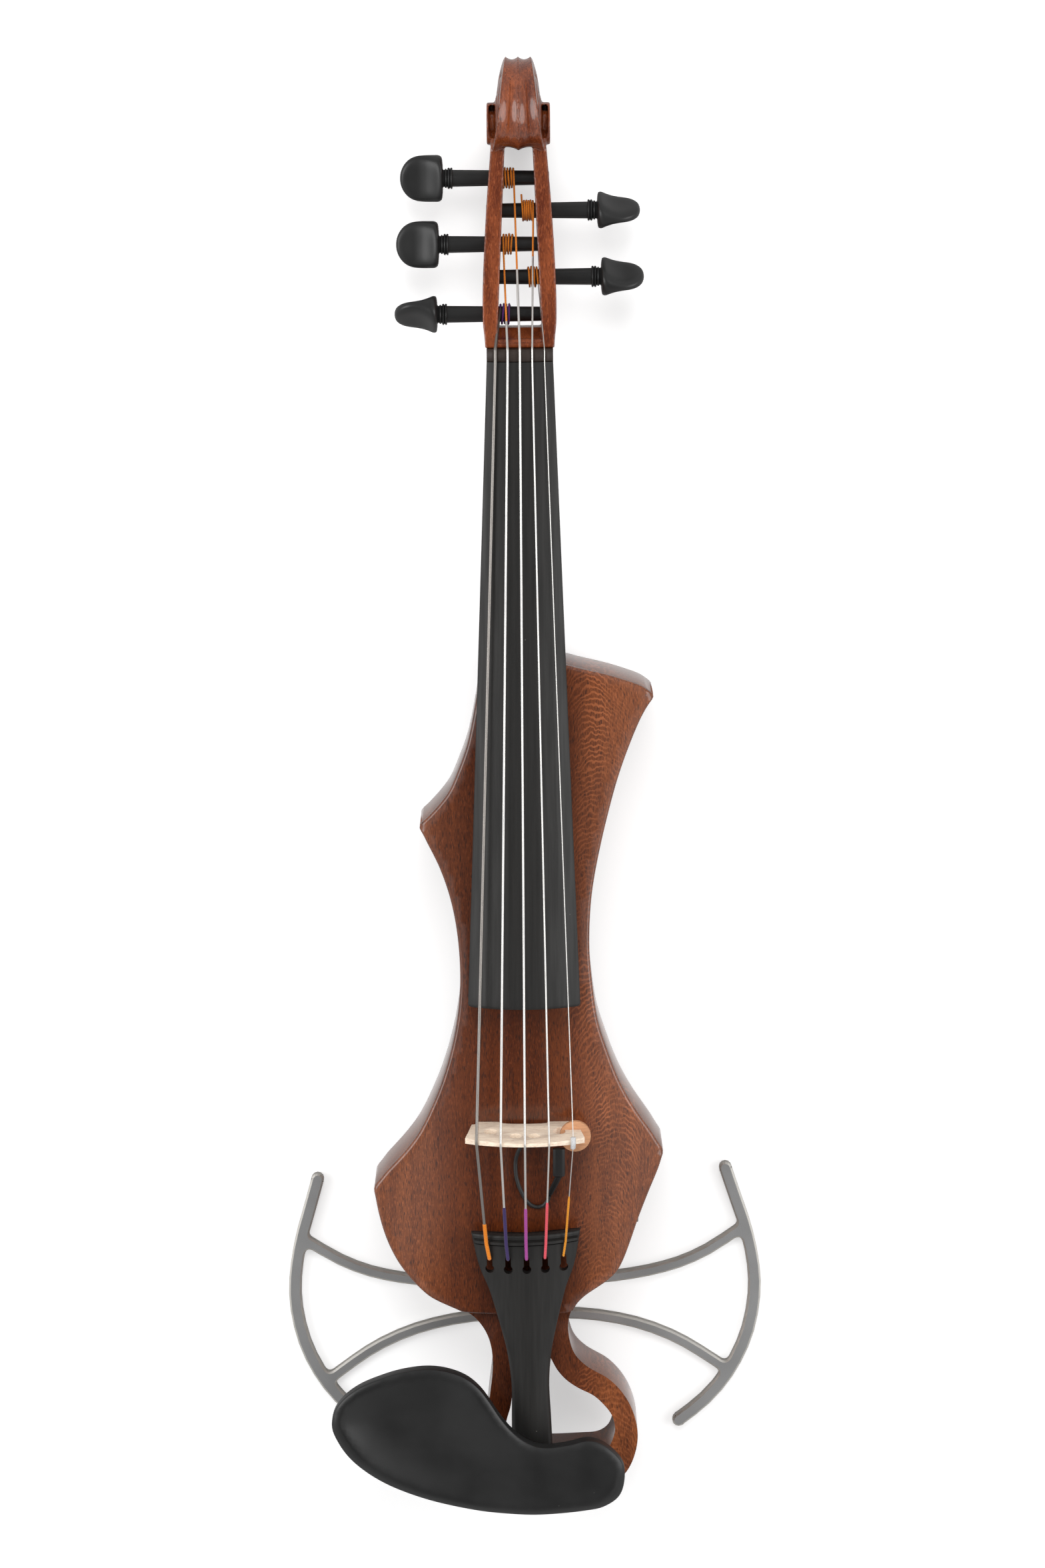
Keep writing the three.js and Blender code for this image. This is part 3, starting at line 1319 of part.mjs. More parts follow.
function makeConnector() {
  const aside = discX - connectorX - connectorWidth / 2;
  const start = discY - Math.sqrt((discDiameter / 2 + fit) ** 2 - aside ** 2);
  const startZ = discZ + discThickness / 2;
  const reliefY = start - connectorLength - fit;
  const [exitX, exitY, lift] = cableRoute[0];
  const exit = at(exitX, reliefY - reliefLength, cableRestZ(exitX, exitY) + lift);
  const sections = [
    [at(connectorX, start, startZ), connectorWidth, connectorHeight],
    [at(connectorX, start - connectorLength, startZ - connectorDrop), connectorWidth, connectorHeight],
    [at(connectorX, reliefY, startZ - connectorDrop - fit),
      connectorWidth * connectorEndShares[0], connectorHeight * connectorEndShares[1]],
    [exit, reliefTipDiameter, reliefTipDiameter],
  ];
  return loft(sections.map(([middle, width, height]) => {
    const ring = [];
    for (let k = 0; k < connectorSides; k += 1) {
      const angle = (2 * Math.PI * (k + 0.5)) / connectorSides;
      const [c, s] = [Math.cos(angle), Math.sin(angle)];
      ring.push(at(middle.x + (width / 2) * Math.sign(c) * Math.abs(c) ** connectorCornerPower, middle.y,
        middle.z + (height / 2) * Math.sign(s) * Math.abs(s) ** connectorCornerPower));
    }
    return ring;
  }));
}

function cableRestZ(x, y) {
  return plateTopAt(x, y) + fit + cableDiameter / 2;
}

function makeCable() {
  const route = cableRoute.map(([x, y, lift]) => [x, y, cableRestZ(x, y) + lift]);
  return tube(smooth(route, cableSteps), () => cableDiameter / 2, cableSides);
}

function makeGrommet() {
  const bore = cableDiameter / 2 + fit;
  const seat = plateTopAt(grommetX, grommetY) + fit;
  const foot = seat - plateWall - fit;
  return turned([[bore, foot], [grommetSleeveDiameter / 2, foot], [grommetSleeveDiameter / 2, seat],
    [grommetFlangeDiameter / 2, seat], [grommetFlangeDiameter / 2, seat + grommetFlangeHeight],
    [bore, seat + grommetFlangeHeight], [bore, foot]], at(grommetX, grommetY, 0), alongZ, rodSides);
}

function makeInnerLead() {
  const floorZ = backZ + backWall;
  const endX = jackFaceX - jackBarrelLength - leadDiameter;
  const route = leadShares.map(([across, along, up]) => [
    grommetX + (endX - grommetX) * across,
    grommetY + (jackY - grommetY) * along,
    floorZ + (ribTopZ - floorZ) * up,
  ]);
  return tube(smooth([...route, [endX, jackY, jackZ]], leadSteps), () => leadDiameter / 2, stringSides);
}

// Output jack: a barrel with a flange outside and a nut inside
function makeJack() {
  const [barrel, flange, bore] = [jackBarrelDiameter / 2, jackFlangeDiameter / 2, jackBore / 2];
  const seat = jackFaceX + fit;
  const front = seat + jackFlangeThickness;
  const back = jackFaceX - jackBarrelLength;
  const boreEnd = back + jackFlangeThickness * 2;
  return turned([[0, back], [barrel, back], [barrel, seat], [flange, seat], [flange, front], [bore, front],
    [bore, boreEnd], [0, boreEnd]], at(0, jackY, jackZ), alongX, largeSides);
}

function makeJackNut() {
  const [bore, outside] = [jackBarrelDiameter / 2 + fit, jackFlangeDiameter / 2];
  const seat = jackFaceX - jackBlockThickness - fit;
  return turned([[bore, seat - jackNutThickness], [outside, seat - jackNutThickness], [outside, seat],
    [bore, seat], [bore, seat - jackNutThickness]], at(0, jackY, jackZ), alongX, largeSides);
}

// Saddle, end button and the gut that joins them to the tailpiece
function makeSaddle() {
  return box(tailCentreX - saddleWidth / 2, tailCentreX + saddleWidth / 2, bodyEndY, bodyEndY + saddleLength,
    ribTopZ, ribTopZ + saddleHeight);
}

function makeButton() {
  const [shank, neck] = [buttonShankDiameter / 2, buttonNeckDiameter / 2];
  const head = buttonHeadShares.map(([along, across]) =>
    [(across * buttonHeadDiameter) / 2, buttonNeckLength + along * buttonHeadLength]);
  return turned([[0, -buttonShankLength], [shank, -buttonShankLength], [shank, 0], [neck, 0],
    [neck, buttonNeckLength], ...head, [0, buttonNeckLength + buttonHeadLength]],
    at(tailCentreX, bodyEndY, buttonZ), at(0, -1, 0));
}

function makeGut() {
  const clear = gutDiameter / 2 + fit;
  const overSaddle = ribTopZ + saddleHeight + clear;
  const behind = bodyEndY - clear - fit;
  const loop = buttonNeckDiameter / 2 + clear + fit;
  const half = gutSpacing / 2;
  const startZ = tailTopAt(half, -tailLength) - tailFootThickness / 2;
  const fall = Math.abs(startZ - overSaddle);
  const run = tailFoot.y - bodyEndY - saddleLength;
  const line = [
    [half, tailFoot.y - fit - (gutDiameter / 2) * (fall / Math.hypot(fall, run)), startZ],
    [half, bodyEndY + saddleLength, overSaddle + fit],
    [half, bodyEndY + saddleLength / 2, overSaddle],
    [half, bodyEndY + fit, overSaddle],
    [half, behind, overSaddle - clear],
    [half, behind, overSaddle - clear * 3],
    [loop, behind, buttonZ + loop],
    [loop, behind, buttonZ],
  ];
  const route = line.map(([x, y, z]) => at(tailCentreX + x, y, z));
  for (let k = 1; k < gutLoopSteps; k += 1) {
    const angle = (Math.PI * k) / gutLoopSteps;
    route.push(at(tailCentreX + loop * Math.cos(angle), behind, buttonZ - loop * Math.sin(angle)));
  }
  route.push(...line.map(([x, y, z]) => at(tailCentreX - x, y, z)).reverse());
  return tube(route, () => gutDiameter / 2, stringSides);
}

// Chinrest and its clamp
function makeChinrest() {
  const outline = chinrestOutlineShares.map(([x, y]) =>
    new THREE.Vector2(chinrestBassX + x * chinrestWidth, bodyEndY - chinrestOverhang + y * chinrestDepth));
  const plate = new THREE.ExtrudeGeometry(new THREE.Shape(outline), {
    depth: chinrestThickness - 2 * chinrestBevel,
    bevelThickness: chinrestBevel,
    bevelSize: chinrestBevel,
    bevelOffset: -chinrestBevel,
    bevelSegments: 2,
    steps: 1,
  }).translate(0, 0, chinrestTopZ - chinrestThickness + chinrestBevel);
  const dish = new THREE.SphereGeometry(1, largeSides, rodSides)
    .scale(dishRadiusX, dishRadiusY, dishDepth)
    .translate(dishX, bodyEndY + dishFromEnd, chinrestTopZ);
  const legs = [-1, 1].map((side) => {
    const x = tailCentreX + (side * legSpacing) / 2;
    return box(x - legWidth / 2, x + legWidth / 2, legFrontY - legLength, legFrontY,
      ribTopZ + corkThickness, chinrestTopZ - chinrestThickness + chinrestBevel);
  });
  return cut(join(plate, ...legs), dish);
}

function makeChinrestCork(side) {
  const x = tailCentreX + (side * legSpacing) / 2;
  return box(x - legWidth / 2, x + legWidth / 2, legFrontY - legLength, legFrontY,
    ribTopZ, ribTopZ + corkThickness);
}

const clampY = bodyEndY - clampFromEnd;
const clampFrontY = clampY - clampRodDiameter / 2 - clampEdge;
const stripTopZ = chinrestTopZ - chinrestThickness;

function clampX(side) {
  return tailCentreX + (side * clampSpacing) / 2;
}

// The two threaded rods of one half of the clamp
function clampRods(low, high) {
  const height = (side, z) => at(clampX(side), clampY, z);
  return [-1, 1].map((side) => rod(clampRodDiameter, height(side, low), height(side, high)));
}

function makeClampStrip() {
  const reach = clampSpacing / 2 + clampRodDiameter;
  const strip = box(tailCentreX - reach, tailCentreX + reach,
    clampFrontY, legFrontY - legLength - fit, stripTopZ - clampStripThickness, stripTopZ);
  const rodEndZ = barrelBaseZ + barrelLength - rodEngagement;
  return join(strip, ...clampRods(rodEndZ, stripTopZ - clampStripThickness / 2));
}

function makeBarrel() {
  const [bore, outside] = [barrelBore / 2, barrelDiameter / 2];
  const inside = outside - barrelBevel;
  const shell = turned([[bore, 0], [inside, 0], [outside, barrelBevel], [outside, barrelLength - barrelBevel],
    [inside, barrelLength], [bore, barrelLength], [bore, 0]], at(0, 0, 0), alongZ, rodSides);
  const [pinLeft, pinRight] = [-1, 1].map((side) => at(side * barrelDiameter, 0, barrelLength / 2));
  return cut(shell, rod(barrelPinBore, pinLeft, pinRight, stringSides));
}

const footTopZ = backZ - corkThickness;

function makeClampFoot() {
  const reach = clampSpacing / 2 + clampRodDiameter;
  const plate = box(tailCentreX - reach, tailCentreX + reach,
    clampFrontY, bodyEndY + clampReach, footTopZ - footPlateThickness, footTopZ);
  return join(plate, ...clampRods(footTopZ - footPlateThickness / 2, barrelBaseZ + rodEngagement));
}

function makeFootCork() {
  const reach = clampSpacing / 2;
  return box(tailCentreX - reach, tailCentreX + reach,
    bodyEndY + fit, bodyEndY + clampReach, footTopZ, backZ);
}

// The assembly
const violin = new THREE.Group();

function add(name, geometry, material, parent = violin) {
  const bare = geometry.clone();
  bare.deleteAttribute("uv");
  bare.computeVertexNormals();
  const mesh = new THREE.Mesh(bare, material);
  mesh.name = name;
  parent.add(mesh);
  return mesh;
}

function group(x, y, z, turn = 0) {
  const made = new THREE.Group();
  made.position.set(x, y, z);
  made.rotation.z = turn;
  violin.add(made);
  return made;
}

add("body_shell", makeBodyShell(), stainedMahogany);
add("top_plate", makeTopPlate(), stainedMahogany);
add("bass_bar", makeBassBar(), spruce);
add("sound_post", makeSoundPost(), spruce);
add("neck_and_scroll", makeNeckAndScroll(), polishedMahogany);
add("fingerboard", makeFingerboard(), ebony);
add("nut", makeNut(), blackRosewood);

const frameGroup = group(0, 0, 0, frameTurn);
add("shoulder_frame", makeFrame(), anodised, frameGroup);
for (const [name, side] of [["bass", -1], ["treble", 1]]) {
  const x = (side * frameScrewSpacing) / 2;
  add("frame_spacer_" + name, makeSpacer(), anodised, frameGroup).position.set(x, frameHubOffset, 0);
  add("frame_screw_" + name, makeFrameScrew(), steel, frameGroup).position.set(x, frameHubOffset, 0);
}

stringNames.forEach((name, i) => {
  const pegGroup = group(nutX, pegY(i), pegZ(i));
  add("peg_" + name, makePeg(i), ebony, pegGroup).rotation.z = pegSideSigns[i] > 0 ? Math.PI : 0;
  add("winding_" + name, makeWinding(i), name === "c" ? violetSilk : orangeSilk, pegGroup);
  add("string_" + name, makeString(i), stringSteel);
});
add("e_string_sleeve", makeSleeve(), clearVinyl);

add("bridge", makeBridge(), palePlane);
add("pickup_disc", makeDisc(), discWood);
add("pickup_connector", makeConnector(), blackPlastic);
add("pickup_cable", makeCable(), cableRubber);
add("cable_grommet", makeGrommet(), blackPlastic);
add("inner_lead", makeInnerLead(), cableRubber);
add("output_jack", makeJack(), nickel);
add("jack_nut", makeJackNut(), nickel);

add("tailpiece", makeTailpiece(), ebony, group(tailX, tailTopY, 0, tailTurn));
add("tail_gut", makeGut(), gutNylon);
add("saddle", makeSaddle(), ebony);
add("end_button", makeButton(), ebony);

add("chinrest", makeChinrest(), ebony);
add("chinrest_cork_bass", makeChinrestCork(-1), cork);
add("chinrest_cork_treble", makeChinrestCork(1), cork);
add("clamp_strip", makeClampStrip(), nickel);
add("clamp_barrel_bass", makeBarrel(), nickel).position.set(clampX(-1), clampY, barrelBaseZ);
add("clamp_barrel_treble", makeBarrel(), nickel).position.set(clampX(1), clampY, barrelBaseZ);
add("clamp_foot", makeClampFoot(), nickel);
add("clamp_foot_cork", makeFootCork(), cork);

const gaps = stringNames.map((name, i) => leastGap(windingPoints(i)));
console.log("least gap of the windings to themselves: " + Math.min(...gaps).toFixed(3) + " mm");

export default violin;
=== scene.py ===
"""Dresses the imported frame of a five-string electric violin in wood, ebony, metal and strings.

Every length is in millimetres until a mesh is made, and the axes are the frame's own:
X towards the thin strings, Y towards the scroll and Z up out of the top plate.
"""

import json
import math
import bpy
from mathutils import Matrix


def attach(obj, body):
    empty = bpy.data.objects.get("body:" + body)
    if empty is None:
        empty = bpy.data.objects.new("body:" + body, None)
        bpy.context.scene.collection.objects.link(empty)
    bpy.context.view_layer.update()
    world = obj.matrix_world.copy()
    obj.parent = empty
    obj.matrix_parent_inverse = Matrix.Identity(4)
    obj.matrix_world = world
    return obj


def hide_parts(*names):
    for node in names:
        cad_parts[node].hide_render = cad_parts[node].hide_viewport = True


bl_info = {
    "name": "Electric violin looks",
    "version": (1, 0, 0),
    "blender": (4, 5, 0),
    "location": "3D View > Sidebar > Violin",
    "description": "Builds the wood, strings and fittings of a five-string electric violin on its frame",
    "category": "Add Mesh",
}

from functools import partial

import bmesh
import bpy
import numpy as np
from mathutils import Matrix, Vector
from mathutils.geometry import delaunay_2d_cdt

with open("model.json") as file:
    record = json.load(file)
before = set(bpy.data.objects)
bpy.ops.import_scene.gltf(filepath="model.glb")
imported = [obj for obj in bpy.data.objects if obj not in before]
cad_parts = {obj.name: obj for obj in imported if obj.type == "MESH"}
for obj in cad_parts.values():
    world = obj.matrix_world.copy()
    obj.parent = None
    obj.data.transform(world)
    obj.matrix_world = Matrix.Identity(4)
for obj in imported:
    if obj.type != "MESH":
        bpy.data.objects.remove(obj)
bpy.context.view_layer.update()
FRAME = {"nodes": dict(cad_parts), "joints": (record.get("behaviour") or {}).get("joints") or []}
NODES = FRAME["nodes"]
MM = 0.001
STRINGS = ("c", "g", "d", "a", "e")

# Places and sizes of the body, in millimetres
RIBS_BOTTOM_Z = 12.0
RIBS_TOP_Z = 45.0
PLATE_EDGE_Z = 48.0
ARCH_RISE = 5.0
CROWN_Z = 53.0
BODY_HALF_WIDTH = 62.0
PLATE_START_Y = 8.0
PLATE_LENGTH = 281.5
SOCKET_Y = 50.0
SOCKET_Z = 28.0
GROMMET_X = 0.3
GROMMET_Y = 86.4

# The neck, its fingerboard and nut, the pegbox and the scroll
BRIDGE_Y = 91.0
BOARD_END_Y = 147.0
NUT_Y = 417.0
NUT_BACK_Y = 422.4
NUT_X = 0.4
BOARD_RADIUS = 42.0
BOARD_EDGE = 4.8
BOARD_NUT_WIDTH = 27.6
BOARD_SPREAD = 19.8
BOARD_LENGTH = 270.0
PEGBOX_START_Y = 422.6
PEGBOX_TOP_Z = 48.42
PEGBOX_LENGTH = 82.8
THROAT_Y = 505.2
EYE_Y = 514.0
EYE_Z = 25.0
SCROLL_RADIUS = 27.6
SCROLL_HALF_WIDTH = 13.2

# The strings: the radius of their silk round the pegs, how deep they lie in the nut, and each one's places
# from the thickest to the thinnest: its ball, where it leaves the tailpiece, the ridge and the bridge
WINDING_RADIUS = 3.95
NUT_SINK = 0.25
BALL_POINTS = (
    (-15.16, 36.09, 64.29), (-7.26, 36.37, 66.64), (0.64, 36.6, 67.39), (8.53, 36.88, 66.65),
    (16.43, 37.16, 64.33),
)
LEAVING_POINTS = (
    (-15.17, 36.52, 65.48), (-7.27, 36.75, 67.69), (0.63, 36.95, 68.37), (8.52, 37.18, 67.49),
    (16.42, 37.41, 65.03),
)
RIDGE_POINTS = (
    (-16.4, 43.22, 66.6), (-7.96, 43.41, 69.2), (0.48, 43.6, 70.0), (8.91, 43.79, 69.05),
    (17.35, 43.98, 66.3),
)
BRIDGE_POINTS = (
    (-20.1, BRIDGE_Y, 80.55), (-9.9, BRIDGE_Y, 84.35), (0.3, BRIDGE_Y, 85.55), (10.5, BRIDGE_Y, 84.2),
    (20.7, BRIDGE_Y, 81.1),
)

# The tailpiece, the chinrest and the shoulder frame
TAILPIECE_LENGTH = 110.0
KEYHOLE_SPACING = 7.9
CHINREST_TOP_Z = 71.0
CHINREST_BOTTOM_Z = 62.0
FRAME_THICKNESS = 5.0

# The pickup cable's route over the top: X, Y and height above where it rests
CABLE_ROUTE = (
    (10.6, 61.2, 1.5), (9.6, 58.5, 0.6), (7.9, 56.5, 0.2), (5.4, 55.8, 0), (2.9, 56.6, 0),
    (0.7, 58.8, 0), (-1, 61.8, 0), (-2.4, 65.2, 0), (-3.4, 68.9, 0), (-3.8, 72.6, 0),
    (-3.7, 76.2, 0.2), (-3, 79.6, 1.4), (-1.9, 82.4, 2.6), (-0.8, 84.4, 2.6), (0, 85.7, 1.4),
    (0.3, 86.3, -0.6), (0.3, 86.4, -3),
)


# Colours and nodes


def linear(hex_code):
    """An sRGB hex colour as linear red, green, blue and alpha."""
    parts = [int(hex_code[i : i + 2], 16) / 255 for i in (1, 3, 5)]
    return [c / 12.92 if c <= 0.04045 else ((c + 0.055) / 1.055) ** 2.4 for c in parts] + [1.0]


def srgb(hex_code):
    """A colour property's default, in linear values without alpha."""
    return tuple(linear(hex_code)[:3])


def add_node(tree, kind, inputs=None, stops=(), **settings):
    """A node with its settings and a ramp's stops, each input a value, a node, or a node and its output."""
    node = tree.nodes.new(kind)
    for key, value in settings.items():
        setattr(node, key, value)
    for place, (position, colour) in enumerate(stops):
        elements = node.color_ramp.elements
        element = elements[place] if place < 2 else elements.new(position)
        element.position = position
        element.color = (*colour[:3], 1.0) if hasattr(colour, "__len__") else (colour, colour, colour, 1.0)
    for name, value in (inputs or {}).items():
        socket = next(s for i, s in enumerate(node.inputs) if name == i or (s.enabled and s.name == name))
        linked = isinstance(value, tuple) and isinstance(value[0], bpy.types.Node)
        source, output = value if linked else (value, None)
        if isinstance(source, bpy.types.Node):
            output = source.outputs[output] if output else next(o for o in source.outputs if o.enabled)
            tree.links.new(output, socket)
        elif socket.type == "RGBA":
            socket.default_value = (*source[:3], 1.0)
        else:
            socket.default_value = source
    return node


def new_material(name):
    """A material with an empty tree, and the call that adds nodes to it."""
    material = bpy.data.materials.new(name)
    material.use_nodes = True
    material.node_tree.nodes.clear()
    return material, partial(add_node, material.node_tree)


def per_millimetre(across, along, up):
    """A mapping's scale at which one unit of a pattern is so many millimetres along each axis."""
    return [1 / (MM * across), 1 / (MM * along), 1 / (MM * up)]


# Shapes


def smooth_line(points, count, closed=False):
    """A curve through points, as evenly spaced points."""
    p = np.asarray(points, float)
    if closed:
        p = np.vstack([p[-3:], p, p[:4]])
    steps = np.sqrt(np.maximum(np.linalg.norm(np.diff(p, axis=0), axis=1), 1e-9))
    t = np.concatenate([[0], np.cumsum(steps)])
    slope = np.diff(p, axis=0) / steps[:, None]
    tangent = np.vstack([slope[:1], slope, slope[-1:]])
    left, right = np.append(steps[:1], steps), np.append(steps, steps[-1:])
    tangent = (tangent[:-1] * right[:, None] + tangent[1:] * left[:, None]) / (left + right)[:, None]
    first, last = (3, len(p) - 4) if closed else (0, len(p) - 1)
    at = np.linspace(t[first], t[last], 20 * (last - first) + 1)
    k = np.clip(np.searchsorted(t, at, side="right") - 1, 0, len(p) - 2)
    h = (t[k + 1] - t[k])[:, None]
    u = ((at - t[k]) / (t[k + 1] - t[k]))[:, None]
    line = (
        (2 * u**3 - 3 * u**2 + 1) * p[k] + (u**3 - 2 * u**2 + u) * h * tangent[k]
        + (3 * u**2 - 2 * u**3) * p[k + 1] + (u**3 - u**2) * h * tangent[k + 1]
    )
    return evenly(line, count)


def evenly(line, count):
    """A line's points, spaced evenly along it: count steps from its start to its end."""
    line = np.asarray(line, float)
    far = np.concatenate([[0], np.cumsum(np.linalg.norm(np.diff(line, axis=0), axis=1))])
    at = np.linspace(0, far[-1], count + 1)
    return np.stack([np.interp(at, far, line[:, c]) for c in range(line.shape[1])], axis=1)


def read_table(table, share):
    """A smooth reading of a table of shares and values."""
    rows = np.asarray(table, float)
    dense = smooth_line(rows, 40 * len(rows))
    return np.interp(share, dense[:, 0], dense[:, 1])


def circle(x, y, radius, count):
    """A round outline, anticlockwise."""
    turn = np.linspace(0, 2 * math.pi, count, endpoint=False)
    return np.stack([x + radius * np.cos(turn), y + radius * np.sin(turn)], axis=1)


def bow(radius, across):
    """How far an arc of a radius drops at a distance from its middle."""
    return radius - np.sqrt(np.maximum(radius**2 - np.square(across), 0))


def plate_top(x, y):
    """Height of the arched top plate."""
    fade = ((-0.1, 0.35), (0, 0.5), (0.1, 0.82), (0.2, 1), (0.42, 1), (0.75, 0.75), (1, 0.5), (1.1, 0.42))
    rise = ARCH_RISE * read_table(fade, (y - PLATE_START_Y) / PLATE_LENGTH)
    return PLATE_EDGE_Z + rise * (1 - np.square(x / BODY_HALF_WIDTH))


def flat_at(height):
    """A surface for a carved plate that lies flat at a height."""
    return lambda x, y, away: np.full(len(x), height)


def board_top(y):
    """Height of the fingerboard along its middle: its line at the bridge, less its fall."""
    above, fall = 27.0, 0.08
    return CROWN_Z + above - fall * (y - BRIDGE_Y)


def board_half_width(y):
    """Half the width of the fingerboard along it."""
    return (BOARD_NUT_WIDTH + BOARD_SPREAD * (NUT_Y - y) / BOARD_LENGTH) / 2


def peg_place(name):
    """Where a peg's axis lies, from its joint in the frame."""
    joint = next(j for j in FRAME["joints"] if j["name"] == f"peg_{name}_turn")
    return [c / MM for c in joint["pos_m"]]


def rounded_edge(distance, radius):
    """How far a surface drops near an edge that is rounded to a radius."""
    inward = np.clip(radius - distance, 0, radius)
    return radius - np.sqrt(np.maximum(radius**2 - inward**2, 0))


def inside(loop, points):
    """Which points lie within a closed loop."""
    found = np.zeros(len(points), bool)
    for (x0, y0), (x1, y1) in zip(loop, np.roll(loop, -1, axis=0)):
        spans = (y0 > points[:, 1]) != (y1 > points[:, 1])
        reach = x0 + (x1 - x0) * (points[:, 1] - y0) / (y1 - y0 if y1 != y0 else 1e-12)
        found ^= spans & (points[:, 0] < reach)
    return found


def distance_to(loops, points):
    """Distance of points to the nearest of some closed loops."""
    least = np.full(len(points), 1e9)
    for loop in loops:
        for start, end in zip(loop, np.roll(loop, -1, axis=0)):
            along = end - start
            share = np.clip(((points - start) @ along) / max(along @ along, 1e-12), 0, 1)
            least = np.minimum(least, np.linalg.norm(points - start - share[:, None] * along, axis=1))
    return least


def filled(loops, rings, spacing):
    """Triangles over the first loop less the others, closer together at the rim."""
    edge = np.vstack(loops)
    extra = []
    for ring in rings:
        for loop in loops:
            along = np.roll(loop, -1, axis=0) - np.roll(loop, 1, axis=0)
            normal = np.stack([-along[:, 1], along[:, 0]], axis=1) / np.linalg.norm(along, axis=1)[:, None]
            for side in (1, -1):
                moved = loop + side * ring * normal
                extra.append(moved[distance_to(loops, moved) > 0.98 * ring])
    low, high = edge.min(axis=0), edge.max(axis=0)
    steps = [np.arange(a, b, spacing) for a, b in zip(low, high)]
    grid = np.stack(np.meshgrid(*steps), axis=-1).reshape(-1, 2)
    grid[::2, 1] += spacing * 0.31
    extra.append(grid[distance_to(loops, grid) > (max(rings) if rings else 0) + spacing * 0.6])
    extra = np.vstack(extra)
    within = inside(loops[0], extra)
    for hole in loops[1:]:
        within &= ~inside(hole, extra)
    points = np.vstack([edge, extra[within]])
    edges, start = [], 0
    for loop in loops:
        edges += [(start + i, start + (i + 1) % len(loop)) for i in range(len(loop))]
        start += len(loop)
    made = delaunay_2d_cdt([Vector(p) for p in points], edges, [], 0, 1e-6)
    verts, faces, origins = np.array([list(v) for v in made[0]]), np.array(made[2]), made[3]
    middles = verts[faces].mean(axis=1)
    kept = inside(loops[0], middles)
    for hole in loops[1:]:
        kept &= ~inside(hole, middles)
    place = {source: i for i, sources in enumerate(origins) for source in sources}
    return verts, faces[kept], [place[i] for i in range(len(edge))]


def carved_plate(loops, top, bottom, top_rim=1.5, bottom_rim=0.6, spacing=3.0):
    """A slab between two surfaces, with upright walls and rounded rims."""
    halves = []
    for surface, rim, sign in ((top, top_rim, -1), (bottom, bottom_rim, 1)):
        rings = [s * rim for s in (0.08, 0.3, 0.62, 1.0)]
        verts, faces, edge = filled(loops, rings, spacing if sign < 0 else spacing * 2)
        away = distance_to(loops, verts)
        height = surface(verts[:, 0], verts[:, 1], away) + sign * rounded_edge(away, rim)
        halves.append((np.column_stack([verts, height]), faces, edge))
    (upper, top_faces, top_edge), (lower, bottom_faces, bottom_edge) = halves
    bottom_edge = [i + len(upper) for i in bottom_edge]
    faces = [tuple(f) for f in top_faces] + [tuple(i + len(upper) for i in f[::-1]) for f in bottom_faces]
    start = 0
    for loop in loops:
        for i in range(len(loop)):
            a, b = start + i, start + (i + 1) % len(loop)
            faces.append((top_edge[a], bottom_edge[a], bottom_edge[b], top_edge[b]))
        start += len(loop)
    return np.vstack([upper, lower]), faces


def tube(line, radii, sides=14):
    """A round tube along a line, closed at its ends."""
    line = np.asarray(line, float)
    radii = np.broadcast_to(np.asarray(radii, float), len(line))
    along = np.gradient(line, axis=0)
    along /= np.linalg.norm(along, axis=1)[:, None]
    across = np.cross(along[0], (0, 0, 1) if abs(along[0][2]) < 0.9 else (1, 0, 0))
    verts = []
    angles = np.linspace(0, 2 * math.pi, sides, endpoint=False)
    for point, direction, radius in zip(line, along, radii):
        across = across - (across @ direction) * direction
        across /= np.linalg.norm(across)
        other = np.cross(direction, across)
        verts += [point + radius * (math.cos(a) * across + math.sin(a) * other) for a in angles]
    return skinned(np.array(verts).reshape(len(line), sides, 3))


def skinned(rings):
    """A closed skin over rings of equal counts, with a point at each end's middle."""
    rings = np.asarray(rings, float)
    count, sides = rings.shape[:2]
    verts = np.vstack([rings.reshape(-1, 3), rings[0].mean(axis=0), rings[-1].mean(axis=0)])
    faces = []
    for i in range(count - 1):
        for k in range(sides):
            n = (k + 1) % sides
            faces.append((i * sides + k, i * sides + n, (i + 1) * sides + n, (i + 1) * sides + k))
    for k in range(sides):
        n = (k + 1) % sides
        faces.append((count * sides, n, k))
        faces.append((count * sides + 1, (count - 1) * sides + k, (count - 1) * sides + n))
    return verts, faces


def upright_block(loop, low, high, axis=2):
    """A block with a loop as its section, along one axis."""
    loop = np.asarray(loop, float)
    verts = np.vstack([np.insert(loop, axis, level, axis=1) for level in (low, high)])
    n = len(loop)
    faces = [(i, (i + 1) % n, n + (i + 1) % n, n + i) for i in range(n)]
    return verts, faces + [tuple(range(n))[::-1], tuple(range(n, 2 * n))]


def together(*shapes):
    """Several shapes as one list of points and faces."""
    verts, faces, start = [], [], 0
    for points, sides in shapes:
        verts.append(np.asarray(points, float))
        faces += [tuple(int(i) + start for i in face) for face in sides]
        start += len(points)
    return np.vstack(verts), faces


def new_object(name, shape, material=None, sharp=40.0):
    """An object in the scene from points in millimetres and faces, with its faces turned outwards."""
    verts, faces = shape
    mesh = bpy.data.meshes.new(name)
    points = [tuple(v) for v in np.asarray(verts) * MM]
    mesh.from_pydata(points, [], [tuple(int(i) for i in f) for f in faces])
    made = bpy.data.objects.new(name, mesh)
    bpy.context.scene.collection.objects.link(made)
    if material:
        mesh.materials.append(material)
    finish_mesh(made, sharp)
    return made


def finish_mesh(obj, sharp=40.0):
    """Faces outwards, smooth but for edges sharper than an angle."""
    bm = bmesh.new()
    bm.from_mesh(obj.data)
    bmesh.ops.recalc_face_normals(bm, faces=bm.faces)
    bm.to_mesh(obj.data)
    bm.free()
    obj.data.shade_smooth()
    obj.data.set_sharp_from_angle(angle=math.radians(sharp))


